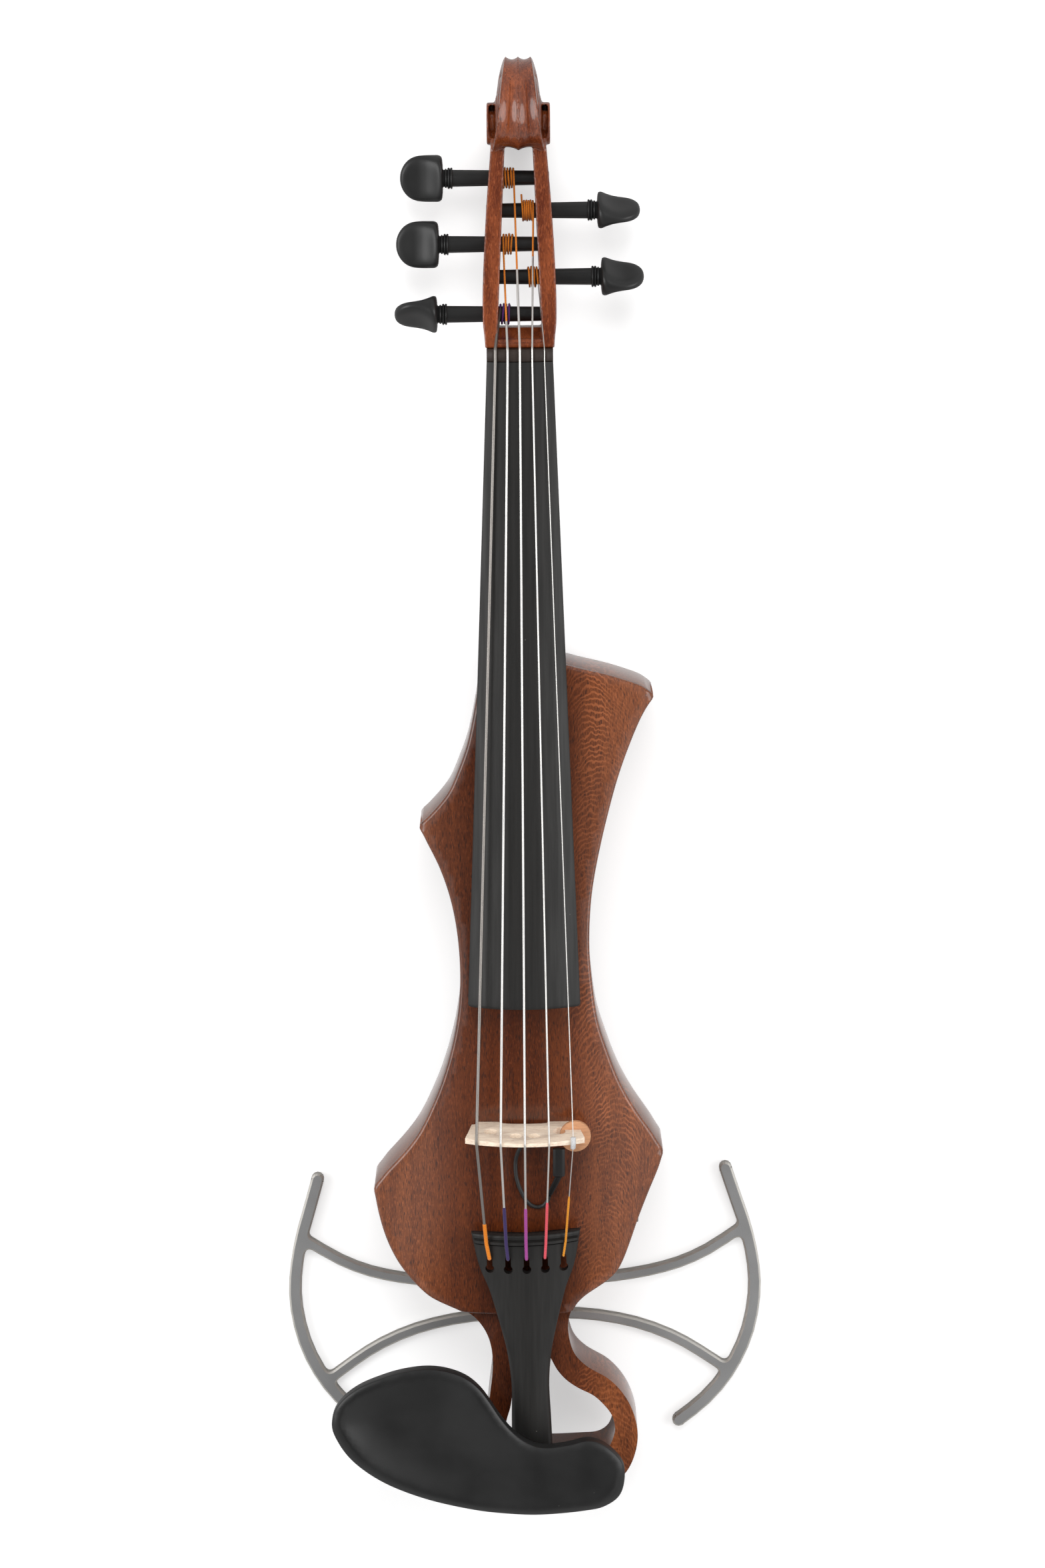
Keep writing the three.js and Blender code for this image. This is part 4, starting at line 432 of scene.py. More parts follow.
def apply_modifiers(obj):
    """The object's modifiers made part of its mesh."""
    shown = obj.evaluated_get(bpy.context.evaluated_depsgraph_get())
    mesh = bpy.data.meshes.new_from_object(shown)
    mesh.name = obj.name
    obj.modifiers.clear()
    obj.data = mesh


def cut(obj, *tools, operation="DIFFERENCE"):
    """Takes tools from an object, or keeps what they share, and removes the tools."""
    for tool in tools:
        modifier = obj.modifiers.new("cut", "BOOLEAN")
        modifier.object, modifier.operation, modifier.solver = tool, operation, "EXACT"
    bpy.context.view_layer.update()
    apply_modifiers(obj)
    for tool in tools:
        bpy.data.objects.remove(tool)
    return obj


def carve(obj, grain, strokes):
    """Everything in an object's mesh as one skin, softened as scraping and sanding leave it."""
    skin = obj.modifiers.new("skin", "REMESH")
    skin.mode, skin.voxel_size, skin.use_smooth_shade = "VOXEL", grain * MM, True
    soften = obj.modifiers.new("soften", "SMOOTH")
    soften.factor, soften.iterations = 0.5, strokes
    bpy.context.view_layer.update()
    apply_modifiers(obj)
    return obj


def put_on(obj, body, nodes=()):
    """The piece rides on a body, takes its finish from a slot and stands for its solids."""
    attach(obj, body)
    if nodes:
        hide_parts(*nodes)
    return obj


def softened(name, node, material, edge):
    """A copy of a solid with its edges eased, as files and sandpaper leave them."""
    sharp = math.radians(35)
    bm = bmesh.new()
    bm.from_mesh(NODES[node].data)
    bmesh.ops.remove_doubles(bm, verts=bm.verts, dist=0.01 * MM)
    bmesh.ops.dissolve_limit(bm, angle_limit=math.radians(0.6), verts=bm.verts, edges=bm.edges)
    edges = [e for e in bm.edges if len(e.link_faces) == 2 and e.calc_face_angle() > sharp]
    if edges and edge:
        bmesh.ops.bevel(
            bm, geom=edges, offset=edge * MM, segments=2, profile=0.5, affect="EDGES", clamp_overlap=True,
            material=-1,
        )
    mesh = bpy.data.meshes.new(name)
    bm.to_mesh(mesh)
    bm.free()
    mesh.materials.append(material)
    made = bpy.data.objects.new(name, mesh)
    bpy.context.scene.collection.objects.link(made)
    finish_mesh(made, 50.0)
    return made


def loops_of(node, level):
    """The closed outlines of a solid where its upright walls end at a level, longest first."""
    bm = bmesh.new()
    bm.from_mesh(NODES[node].data)
    bmesh.ops.remove_doubles(bm, verts=bm.verts, dist=0.01 * MM)
    links = {}
    for edge in bm.edges:
        upright = [abs(f.normal.z) < 0.2 for f in edge.link_faces]
        if all(abs(v.co.z - level * MM) < 0.03 * MM for v in edge.verts) and sum(upright) == 1:
            for v, other in (edge.verts, reversed(edge.verts)):
                links.setdefault(v.index, []).append(other.index)
    places = {v.index: (v.co.x / MM, v.co.y / MM) for v in bm.verts}
    bm.free()
    loops = []
    while links:
        here = next(iter(links))
        loop = [here]
        while links.get(here):
            after = links[here].pop()
            links[after].remove(here)
            if not links[here]:
                del links[here]
            here = after
            loop.append(here)
        links.pop(here, None)
        loops.append(np.array([places[i] for i in loop[:-1]]))
    size = lambda loop: np.linalg.norm(np.diff(loop, axis=0), axis=1).sum()
    return sorted(loops, key=size, reverse=True)


def turning_left(loop):
    """A closed outline, turned round where needed so that it runs anticlockwise."""
    x, y = loop.T
    return loop if (x * np.roll(y, -1) - np.roll(x, -1) * y).sum() > 0 else loop[::-1]


def milled_corners(loop, left, right):
    """An anticlockwise outline whose corners to the left and to the right are rounded to two radii."""
    ahead, behind = np.roll(loop, -1, axis=0) - loop, loop - np.roll(loop, 1, axis=0)
    turns = np.arctan2(behind[:, 0] * ahead[:, 1] - behind[:, 1] * ahead[:, 0], (behind * ahead).sum(axis=1))
    far = np.concatenate([[0], np.cumsum(np.linalg.norm(ahead, axis=1))])
    total = far[-1]
    around = lambda a, b: abs((a - b + total / 2) % total - total / 2)
    at = lambda q: np.array([np.interp(q % total, far, np.append(loop[:, c], loop[0, c])) for c in (0, 1)])
    corners = [i for i, turn in enumerate(turns) if abs(turn) > math.radians(35)]
    reaches = {}
    for i in corners:
        nearest = min([around(far[i], far[k]) for k in corners if k != i], default=total)
        reaches[i] = min((left if turns[i] > 0 else right) * math.tan(abs(turns[i]) / 2), 0.45 * nearest)
    made = []
    for i in range(len(loop)):
        if all(around(far[i], far[k]) > reaches[k] for k in corners):
            made.append((far[i], *loop[i]))
    for i, reach in reaches.items():
        start, end = at(far[i] - reach), at(far[i] + reach)
        for t in np.linspace(0, 1, 9):
            point = (1 - t) ** 2 * start + 2 * t * (1 - t) * loop[i] + t**2 * end
            made.append(((far[i] + (2 * t - 1) * reach) % total, *point))
    return np.array(sorted(made))[:, 1:]


def bevelled_plate(loops, low, high, bevel):
    """A flat plate with upright walls and flat bevels, from closed outlines: the first is its rim, the
    others are its openings. Its two faces are triangles, its walls and bevels have four sides."""
    moved = []
    for number, loop in enumerate(loops):
        along = np.roll(loop, -1, axis=0) - np.roll(loop, 1, axis=0)
        inward = np.stack([-along[:, 1], along[:, 0]], axis=1) / np.linalg.norm(along, axis=1)[:, None]
        moved.append(loop + (bevel if number == 0 else -bevel) * inward)
    no_grid = 1000.0
    caps, triangles, rim = filled(moved, [], no_grid)
    outer = np.vstack(loops)
    levels = ((caps, high), (outer, high - bevel), (outer, low + bevel), (caps, low))
    verts = np.vstack([np.column_stack([flat, np.full(len(flat), level)]) for flat, level in levels])
    n, m = len(caps), len(outer)
    top = [tuple(f) for f in triangles]
    bottom = [tuple(n + 2 * m + i for i in f[::-1]) for f in triangles]
    rings = [rim, range(n, n + m), range(n + m, n + 2 * m), [n + 2 * m + i for i in rim]]
    sides, start = [], 0
    for loop in loops:
        for i in range(len(loop)):
            a, b = start + i, start + (i + 1) % len(loop)
            for upper, lower in zip(rings, rings[1:]):
                sides.append((upper[a], lower[a], lower[b], upper[b]))
        start += len(loop)
    return verts, top + bottom + sides


def eased_loop(loop, spacing, ease):
    """A closed outline as a finer smooth one that runs anticlockwise, its corners rounded over a length."""
    length = np.linalg.norm(np.diff(loop, axis=0), axis=1).sum()
    line = smooth_line(loop, max(24, int(length / spacing)), closed=True)[:-1]
    reach = max(1, int(round(3 * ease / spacing)))
    weights = np.exp(-0.5 * (np.arange(-reach, reach + 1) * spacing / ease) ** 2)
    weights /= weights.sum()
    made = sum(w * np.roll(line, k, axis=0) for w, k in zip(weights, range(-reach, reach + 1)))
    return turning_left(made)


# Sizes and colours that a user may change


def length_property(name, description, millimetres):
    """A length property with its default in metres."""
    return bpy.props.FloatProperty(
        name=name, description=description, default=millimetres * MM, min=0.0, unit="LENGTH", precision=4
    )


def colour_property(name, description, hex_code):
    """A colour property with its default from an sRGB hex code."""
    return bpy.props.FloatVectorProperty(
        name=name, description=description, default=srgb(hex_code), size=3, min=0.0, max=1.0, subtype="COLOR"
    )


class ViolinSizes(bpy.types.PropertyGroup):
    """Lengths that only change how edges, strings and windings look"""

    body_rim: length_property("Body rim", "Radius of the top plate's rounded edge", 1.3)
    arm_rim: length_property("Arm rim", "Radius of the edges of the two arms", 1.1)
    chinrest_dish: length_property("Chinrest dish", "Depth of the chinrest's hollow", 4.6)
    pore_length: length_property("Pore length", "Length of the dark pores in the mahogany", 3.2)
    pore_width: length_property("Pore width", "Width of the dark pores in the mahogany", 0.32)
    fleck_length: length_property("Fleck length", "Length of the light flecks in the mahogany", 2.4)
    fleck_width: length_property("Fleck width", "Width of the light flecks in the mahogany", 0.5)
    ripple_width: length_property("Ripple width", "Spacing of the rippled figure in the mahogany", 2.4)
    silk_diameter: length_property("Silk winding", "Diameter of the silk-covered string on a peg", 0.8)
    frame_edge: length_property("Frame edge", "Width of the frame's bright bevelled edges", 0.8)


class ViolinColours(bpy.types.PropertyGroup):
    """Colours of the wood, metal, plastic and silk"""

    body_dark: colour_property("Body, dark grain", "Dark streaks of the stained body", "#4A1F0C")
    body_light: colour_property("Body, light grain", "Light streaks of the stained body", "#7A401E")
    body_pore: colour_property("Body, pores", "Stain gathered in the open pores", "#2B130A")
    neck_dark: colour_property("Neck, dark grain", "Dark streaks of the neck and scroll", "#56230F")
    neck_light: colour_property("Neck, light grain", "Light streaks of the neck and scroll", "#8A4522")
    neck_pore: colour_property("Neck, pores", "Filled pores of the neck and scroll", "#4A1E0D")
    ebony: colour_property("Ebony", "Oiled ebony of the board and tailpiece", "#1F1E1D")
    nut_wood: colour_property("Nut", "Brown-black wood of the nut", "#2C2420")
    bridge_wood: colour_property("Bridge", "Unfinished wood of the bridge", "#FCE6D0")
    disc_wood: colour_property("Pickup disc", "Thin wood of the pickup's disc", "#C9936C")
    black_plastic: colour_property("Black plastic", "Moulded pegs, chinrest and connector", "#1D1D1D")
    frame_metal: colour_property("Frame", "Anodised faces of the shoulder frame", "#ADADAD")
    silk_ends: colour_property("Peg silk", "Silk at the pegs", "#D97A1C")
    silk_c: colour_property("Tail silk C", "Silk of the lowest string at the tailpiece", "#F28A18")
    silk_g: colour_property("Tail silk G", "Silk of the G string at the tailpiece", "#3A2A60")
    silk_d: colour_property("Tail silk D", "Silk of the D string at the tailpiece", "#B04A9E")
    silk_a: colour_property("Tail silk A", "Silk of the A string at the tailpiece", "#F25A68")
    silk_e: colour_property("Tail silk E", "Silk of the E string at the tailpiece", "#EE9A22")


def sizes():
    """The length properties of this scene."""
    return bpy.context.scene.violin_sizes


def colours():
    """The colour properties of this scene."""
    return bpy.context.scene.violin_colours


# Materials


def open_pored_mahogany(name, dark, light, pore, roughness, gloss, ripple, sheen=0.0):
    """Stained mahogany under a thin sprayed lacquer that leaves the pores open: soft streaks with short
    lengthwise flecks and dark pores. The body's stain lies darker along its middle, and its treble side
    has a rippled figure in nested arches. The real ripples are about 1.3 mm apart and are drawn wider so
    that they show. The sides, only sanded, look pale where they are seen edge-on."""
    material, node = new_material(name)
    place = (node("ShaderNodeTexCoord"), "Object")
    size = sizes()
    streaks = node("ShaderNodeMapping", {"Vector": place, "Scale": per_millimetre(7, 90, 9)})
    streaks = node("ShaderNodeTexNoise", {"Vector": streaks, "Scale": 1.0, "Detail": 4.0, "Roughness": 0.6})
    low, high = (0.18, 0.78) if ripple else (0.36, 0.66)
    wood = node("ShaderNodeValToRGB", {"Fac": streaks}, [(low, dark), (high, light)])
    flecks = node(
        "ShaderNodeMapping",
        {"Vector": place, "Scale": per_millimetre(size.fleck_width / MM, size.fleck_length / MM, 1.2)},
    )
    flecks = node("ShaderNodeTexNoise", {"Vector": flecks, "Scale": 1.0, "Detail": 3.0, "Roughness": 0.7})
    fleck = node("ShaderNodeValToRGB", {"Fac": flecks}, [(0.5, 0.0), (0.66, 1.0)])
    bright = [min(1.0, 1.75 * c + 0.01) for c in light]
    fleck = node("ShaderNodeMath", {0: fleck, 1: 0.42}, operation="MULTIPLY")
    wood = node("ShaderNodeMix", {"Factor": fleck, "A": wood, "B": bright}, data_type="RGBA")
    pores = node(
        "ShaderNodeMapping",
        {"Vector": place, "Scale": per_millimetre(size.pore_width / MM, size.pore_length / MM, 0.6)},
    )
    pores = node("ShaderNodeTexNoise", {"Vector": pores, "Scale": 1.0, "Detail": 1.0})
    spots = node("ShaderNodeValToRGB", {"Fac": pores}, [(0.56, 0.0), (0.66, 1.0)])
    amount = node("ShaderNodeMath", {0: spots, 1: 0.75}, operation="MULTIPLY")
    wood = node("ShaderNodeMix", {"Factor": amount, "A": wood, "B": pore}, data_type="RGBA")
    if ripple:
        parts = node("ShaderNodeSeparateXYZ", {"Vector": place})
        warp = node("ShaderNodeMapping", {"Vector": place, "Scale": per_millimetre(4, 9, 12)})
        warp = node("ShaderNodeTexNoise", {"Vector": warp, "Scale": 1.0, "Detail": 3.0})
        warp = node("ShaderNodeMath", {0: warp, 1: 8 * MM}, operation="MULTIPLY")
        middle = node("ShaderNodeMapping", {"Vector": place, "Scale": per_millimetre(60, 75, 60)})
        middle = node("ShaderNodeTexNoise", {"Vector": middle, "Scale": 1.0, "Detail": 0.0})
        middle = node("ShaderNodeMath", {0: middle, 1: 30 * MM, 2: 17 * MM}, operation="MULTIPLY_ADD")
        aside = node("ShaderNodeMath", {0: (parts, "X"), 1: middle}, operation="SUBTRACT")
        steep = node("ShaderNodeMath", {0: aside, 1: 2.0}, operation="POWER")
        arch = node("ShaderNodeMath", {0: steep, 1: 55.0, 2: (parts, "Y")}, operation="MULTIPLY_ADD")
        arch = node("ShaderNodeMath", {0: arch, 1: warp}, operation="ADD")
        waves = node("ShaderNodeMath", {0: arch, 1: 2 * math.pi / size.ripple_width}, operation="MULTIPLY")
        waves = node("ShaderNodeMath", {0: waves}, operation="SINE")
        waves = node("ShaderNodeValToRGB", {"Fac": waves}, [(0.1, 0.0), (0.85, 1.0)])
        near = node("ShaderNodeMath", {0: aside}, operation="ABSOLUTE")
        near = node("ShaderNodeMath", {0: near, 1: 55.0}, operation="MULTIPLY")
        near = node("ShaderNodeValToRGB", {"Fac": near}, [(0.3, 1.0), (1.0, 0.0)])
        patches = node("ShaderNodeMapping", {"Vector": place, "Scale": per_millimetre(14, 45, 30)})
        patches = node("ShaderNodeTexNoise", {"Vector": patches, "Scale": 1.0, "Detail": 2.0})
        patches = node("ShaderNodeValToRGB", {"Fac": patches}, [(0.38, 0.15), (0.6, 1.0)])
        lift = node("ShaderNodeMath", {0: waves, 1: near}, operation="MULTIPLY")
        lift = node("ShaderNodeMath", {0: lift, 1: patches}, operation="MULTIPLY")
        lift = node("ShaderNodeMath", {0: lift, 1: 0.7}, operation="MULTIPLY")
        wood = node("ShaderNodeMix", {"Factor": lift, "A": wood, "B": bright}, data_type="RGBA")
        span = 70
        slope = 0.5 / (span * MM)
        across = node("ShaderNodeMath", {0: (parts, "X"), 1: slope, 2: 0.5}, operation="MULTIPLY_ADD")
        stain_shares = (
            (-58, 1.25), (-45, 1.25), (-33, 0.86), (-18, 0.61), (8, 0.61), (22, 0.86), (36, 1.29), (58, 1.33),
        )
        stops = [
            (0.5 + 0.5 * x / span, (t, t * (0.66 + 0.32 * t), t * (0.42 + 0.56 * t))) for x, t in stain_shares
        ]
        stain = node("ShaderNodeValToRGB", {"Fac": across}, stops)
        wood = node(
            "ShaderNodeMix", {"Factor": 1.0, "A": wood, "B": stain}, data_type="RGBA", blend_type="MULTIPLY"
        )
    rough = node("ShaderNodeMath", {0: spots, 1: 0.12, 2: roughness}, operation="MULTIPLY_ADD")
    dents = node("ShaderNodeMath", {0: 1.0, 1: spots}, operation="SUBTRACT")
    bump = node("ShaderNodeBump", {"Height": dents, "Distance": 0.012 * MM, "Strength": 0.5})
    shader = node(
        "ShaderNodeBsdfPrincipled",
        {"Base Color": wood, "Roughness": rough, "Normal": bump, "IOR": 1.3, "Coat Weight": gloss,
         "Coat Roughness": 0.4 * roughness, "Coat IOR": 1.55, "Sheen Weight": sheen, "Sheen Roughness": 0.3},
    )
    node("ShaderNodeOutputMaterial", {"Surface": shader})
    return material


def oiled_ebony(name, colour, roughness=0.45):
    """Ebony, scraped and rubbed with oil: near black with faint grey lengthwise lines, a soft sheen that
    wanders along them, and fine bright specks of dust."""
    material, node = new_material(name)
    place = (node("ShaderNodeTexCoord"), "Object")
    lines = node("ShaderNodeMapping", {"Vector": place, "Scale": per_millimetre(1.6, 80, 3)})
    lines = node("ShaderNodeTexNoise", {"Vector": lines, "Scale": 1.0, "Detail": 3.0})
    paler = [1.4 * c + 0.002 for c in colour]
    wood = node("ShaderNodeValToRGB", {"Fac": lines}, [(0.35, colour), (0.72, paler)])
    dust = node("ShaderNodeMapping", {"Vector": place, "Scale": per_millimetre(11, 11, 11)})
    dust = node("ShaderNodeTexVoronoi", {"Vector": dust, "Scale": 1.0, "Randomness": 1.0})
    dust = node("ShaderNodeValToRGB", {"Fac": (dust, "Distance")}, [(0.012, 1.0), (0.022, 0.0)])
    dust = node("ShaderNodeMath", {0: dust, 1: 0.5}, operation="MULTIPLY")
    wood = node("ShaderNodeMix", {"Factor": dust, "A": wood, "B": linear("#8E8A84")}, data_type="RGBA")
    rough = node("ShaderNodeValToRGB", {"Fac": lines}, [(0.3, roughness + 0.07), (0.7, roughness - 0.05)])
    bump = node("ShaderNodeBump", {"Height": lines, "Distance": 0.02 * MM, "Strength": 0.3})
    shader = node(
        "ShaderNodeBsdfPrincipled", {"Base Color": wood, "Roughness": rough, "Normal": bump, "IOR": 1.36}
    )
    node("ShaderNodeOutputMaterial", {"Surface": shader})
    return material


def knife_cut_plane_wood(name, colour, strength):
    """Unfinished plane wood, cut with a knife and scraped: cream with a dry matt face, and the short
    reddish flecks of its rays."""
    material, node = new_material(name)
    place = (node("ShaderNodeTexCoord"), "Object")
    tone = node("ShaderNodeMapping", {"Vector": place, "Scale": per_millimetre(5, 0.9, 1.6)})
    tone = node("ShaderNodeTexNoise", {"Vector": tone, "Scale": 1.0, "Detail": 4.0})
    dark, light = [0.84 * c for c in colour], [min(1.0, 1.08 * c) for c in colour]
    wood = node("ShaderNodeValToRGB", {"Fac": tone}, [(0.32, dark), (0.68, light)])
    flecks = node("ShaderNodeMapping", {"Vector": place, "Scale": per_millimetre(1.9, 0.6, 0.55)})
    flecks = node("ShaderNodeTexNoise", {"Vector": flecks, "Scale": 1.0, "Detail": 2.0})
    flecks = node("ShaderNodeValToRGB", {"Fac": flecks}, [(0.54, 0.0), (0.68, 1.0)])
    flecks = node("ShaderNodeMath", {0: flecks, 1: strength}, operation="MULTIPLY")
    red = [c * s for c, s in zip(colour, (0.62, 0.46, 0.36))]
    wood = node("ShaderNodeMix", {"Factor": flecks, "A": wood, "B": red}, data_type="RGBA")
    bump = node("ShaderNodeBump", {"Height": tone, "Distance": 0.03 * MM, "Strength": 0.4})
    shader = node(
        "ShaderNodeBsdfPrincipled", {"Base Color": wood, "Roughness": 0.62, "Normal": bump, "IOR": 1.45}
    )
    node("ShaderNodeOutputMaterial", {"Surface": shader})
    return material


def satin_moulded_plastic(name, colour, roughness):
    """Hard black plastic out of a satin mould: even colour, a soft wide sheen and a fine grain, with a
    little dust."""
    material, node = new_material(name)
    place = (node("ShaderNodeTexCoord"), "Object")
    grain = node("ShaderNodeMapping", {"Vector": place, "Scale": per_millimetre(0.4, 0.4, 0.4)})
    grain = node("ShaderNodeTexNoise", {"Vector": grain, "Scale": 1.0, "Detail": 2.0})
    broad = node("ShaderNodeMapping", {"Vector": place, "Scale": per_millimetre(18, 18, 18)})
    broad = node("ShaderNodeTexNoise", {"Vector": broad, "Scale": 1.0, "Detail": 3.0})
    dark, light = [0.84 * c for c in colour], [min(1.0, 1.2 * c) for c in colour]
    tint = node("ShaderNodeValToRGB", {"Fac": broad}, [(0.3, dark), (0.7, light)])
    dust = node("ShaderNodeMapping", {"Vector": place, "Scale": per_millimetre(13, 13, 13)})
    dust = node("ShaderNodeTexVoronoi", {"Vector": dust, "Scale": 1.0, "Randomness": 1.0})
    dust = node("ShaderNodeValToRGB", {"Fac": (dust, "Distance")}, [(0.008, 1.0), (0.016, 0.0)])
    dust = node("ShaderNodeMath", {0: dust, 1: 0.4}, operation="MULTIPLY")
    tint = node("ShaderNodeMix", {"Factor": dust, "A": tint, "B": linear("#8A8A88")}, data_type="RGBA")
    rough = node("ShaderNodeValToRGB", {"Fac": broad}, [(0.3, roughness - 0.03), (0.7, roughness + 0.05)])
    bump = node("ShaderNodeBump", {"Height": grain, "Distance": 0.012 * MM, "Strength": 0.25})
    shader = node(
        "ShaderNodeBsdfPrincipled", {"Base Color": tint, "Roughness": rough, "Normal": bump, "IOR": 1.45}
    )
    node("ShaderNodeOutputMaterial", {"Surface": shader})
    return material


def blasted_anodised_aluminium(name, colour, roughness):
    """Aluminium, bead-blasted and anodised: matt grey metal with a very fine even grain."""
    material, node = new_material(name)
    place = (node("ShaderNodeTexCoord"), "Object")
    grain = node("ShaderNodeMapping", {"Vector": place, "Scale": per_millimetre(0.5, 0.5, 0.5)})
    grain = node("ShaderNodeTexNoise", {"Vector": grain, "Scale": 1.0, "Detail": 2.0})
    broad = node("ShaderNodeMapping", {"Vector": place, "Scale": per_millimetre(25, 25, 25)})
    broad = node("ShaderNodeTexNoise", {"Vector": broad, "Scale": 1.0, "Detail": 2.0})
    dark, light = [0.9 * c for c in colour], [min(1.0, 1.08 * c) for c in colour]
    tint = node("ShaderNodeValToRGB", {"Fac": broad}, [(0.3, dark), (0.7, light)])
    rough = node("ShaderNodeValToRGB", {"Fac": grain}, [(0.3, roughness - 0.05), (0.7, roughness + 0.06)])
    bump = node("ShaderNodeBump", {"Height": grain, "Distance": 0.01 * MM, "Strength": 0.3})
    shader = node(
        "ShaderNodeBsdfPrincipled", {"Base Color": tint, "Roughness": rough, "Normal": bump, "Metallic": 1.0}
    )
    node("ShaderNodeOutputMaterial", {"Surface": shader})
    return material


def machined_metal(name, colour, roughness, pitch=0.4):
    """Metal turned or milled and left bright: silvery, with fine tool lines that are really about 0.1 mm
    apart and are drawn wider so that they show."""
    material, node = new_material(name)
    place = (node("ShaderNodeTexCoord"), "Object")
    lines = node("ShaderNodeMapping", {"Vector": place, "Scale": per_millimetre(5 * pitch, 5 * pitch, pitch)})
    lines = node("ShaderNodeTexNoise", {"Vector": lines, "Scale": 1.0, "Detail": 3.0})
    tint = node("ShaderNodeValToRGB", {"Fac": lines}, [(0.3, [0.88 * c for c in colour]), (0.7, colour)])
    rough = node("ShaderNodeValToRGB", {"Fac": lines}, [(0.3, roughness - 0.05), (0.7, roughness + 0.08)])
    bump = node("ShaderNodeBump", {"Height": lines, "Distance": 0.01 * MM, "Strength": 0.25})
    shader = node(
        "ShaderNodeBsdfPrincipled", {"Base Color": tint, "Roughness": rough, "Normal": bump, "Metallic": 1.0}
    )
    node("ShaderNodeOutputMaterial", {"Surface": shader})
    return material


def flat_wound_string(name, colour, roughness, pitch=0.5):
    """A string's metal ribbon, wound flat and polished: bright, with rings across it. The real ribbon is
    about 0.15 mm wide, and it is drawn wider so that it shows."""
    material, node = new_material(name)
    parts = node("ShaderNodeSeparateXYZ", {"Vector": (node("ShaderNodeTexCoord"), "Object")})
    turns = node("ShaderNodeMath", {0: (parts, "Y"), 1: 2 * math.pi / (pitch * MM)}, operation="MULTIPLY")
    turns = node("ShaderNodeMath", {0: turns}, operation="SINE")
    turns = node("ShaderNodeMath", {0: turns, 1: 0.5, 2: 0.5}, operation="MULTIPLY_ADD")
    tint = node("ShaderNodeValToRGB", {"Fac": turns}, [(0.0, [0.86 * c for c in colour]), (0.6, colour)])
    rough = node("ShaderNodeValToRGB", {"Fac": turns}, [(0.0, roughness + 0.12), (1.0, roughness)])
    bump = node("ShaderNodeBump", {"Height": turns, "Distance": 0.01 * MM, "Strength": 0.2})
    shader = node(
        "ShaderNodeBsdfPrincipled", {"Base Color": tint, "Roughness": rough, "Normal": bump, "Metallic": 1.0}
    )
    node("ShaderNodeOutputMaterial", {"Surface": shader})
    return material


def wound_silk(name, colour, pitch=0.55):
    """Silk thread wound close round a string's end: dull colour with a soft sheen and slanting threads,
    drawn at about twice their real width so that they show."""
    material, node = new_material(name)
    parts = node("ShaderNodeSeparateXYZ", {"Vector": (node("ShaderNodeTexCoord"), "Object")})
    slant = node("ShaderNodeMath", {0: (parts, "X"), 1: 0.35, 2: (parts, "Y")}, operation="MULTIPLY_ADD")
    slant = node("ShaderNodeMath", {0: (parts, "Z"), 1: 0.3, 2: slant}, operation="MULTIPLY_ADD")
    threads = node("ShaderNodeMath", {0: slant, 1: 2 * math.pi / (pitch * MM)}, operation="MULTIPLY")
    threads = node("ShaderNodeMath", {0: threads}, operation="SINE")
    threads = node("ShaderNodeMath", {0: threads, 1: 0.5, 2: 0.5}, operation="MULTIPLY_ADD")
    tint = node("ShaderNodeValToRGB", {"Fac": threads}, [(0.0, [0.6 * c for c in colour]), (0.75, colour)])
    bump = node("ShaderNodeBump", {"Height": threads, "Distance": 0.05 * MM, "Strength": 0.6})
    shader = node(
        "ShaderNodeBsdfPrincipled",
        {"Base Color": tint, "Roughness": 0.65, "Normal": bump, "IOR": 1.45, "Sheen Weight": 0.25,
         "Sheen Roughness": 0.4},
    )
    node("ShaderNodeOutputMaterial", {"Surface": shader})
    return material


def soft_extrusion(name, dark, light, roughness, grain, **clear):
    """A flexible cord or sleeve out of an extruder's die: smooth, with a faint mottle along it and a broad
    sheen; see-through where a share of light is let in."""
    material, node = new_material(name)
    place = (node("ShaderNodeTexCoord"), "Object")
    mottle = node("ShaderNodeMapping", {"Vector": place, "Scale": per_millimetre(grain, 4 * grain, grain)})
    mottle = node("ShaderNodeTexNoise", {"Vector": mottle, "Scale": 1.0, "Detail": 2.0})
    tint = node("ShaderNodeValToRGB", {"Fac": mottle}, [(0.3, dark), (0.7, light)])
    rough = node("ShaderNodeValToRGB", {"Fac": mottle}, [(0.3, roughness - 0.06), (0.7, roughness + 0.08)])
    bump = node("ShaderNodeBump", {"Height": mottle, "Distance": 0.02 * MM, "Strength": 0.3})
    values = {"Base Color": tint, "Roughness": rough, "Normal": bump, "IOR": 1.5}
    values.update({key.replace("_", " "): value for key, value in clear.items()})
    node("ShaderNodeOutputMaterial", {"Surface": node("ShaderNodeBsdfPrincipled", values)})
    return material


def pressed_cork(name):
    """Cork grains pressed into sheet and sanded: tan grains with dark gaps between them."""
    material, node = new_material(name)
    grains = node(
        "ShaderNodeMapping",
        {"Vector": (node("ShaderNodeTexCoord"), "Object"), "Scale": per_millimetre(1.1, 1.1, 1.1)},
    )
    grains = (node("ShaderNodeTexVoronoi", {"Vector": grains, "Scale": 1.0}), "Distance")
    stops = [(0.1, linear("#B98A5A")), (0.55, linear("#9A6C42")), (0.8, linear("#4E3320"))]
    tint = node("ShaderNodeValToRGB", {"Fac": grains}, stops)
    bump = node("ShaderNodeBump", {"Height": grains, "Distance": 0.12 * MM, "Strength": 0.6})
    shader = node(
        "ShaderNodeBsdfPrincipled", {"Base Color": tint, "Roughness": 0.85, "Normal": bump, "IOR": 1.45}
    )
    node("ShaderNodeOutputMaterial", {"Surface": shader})
    return material


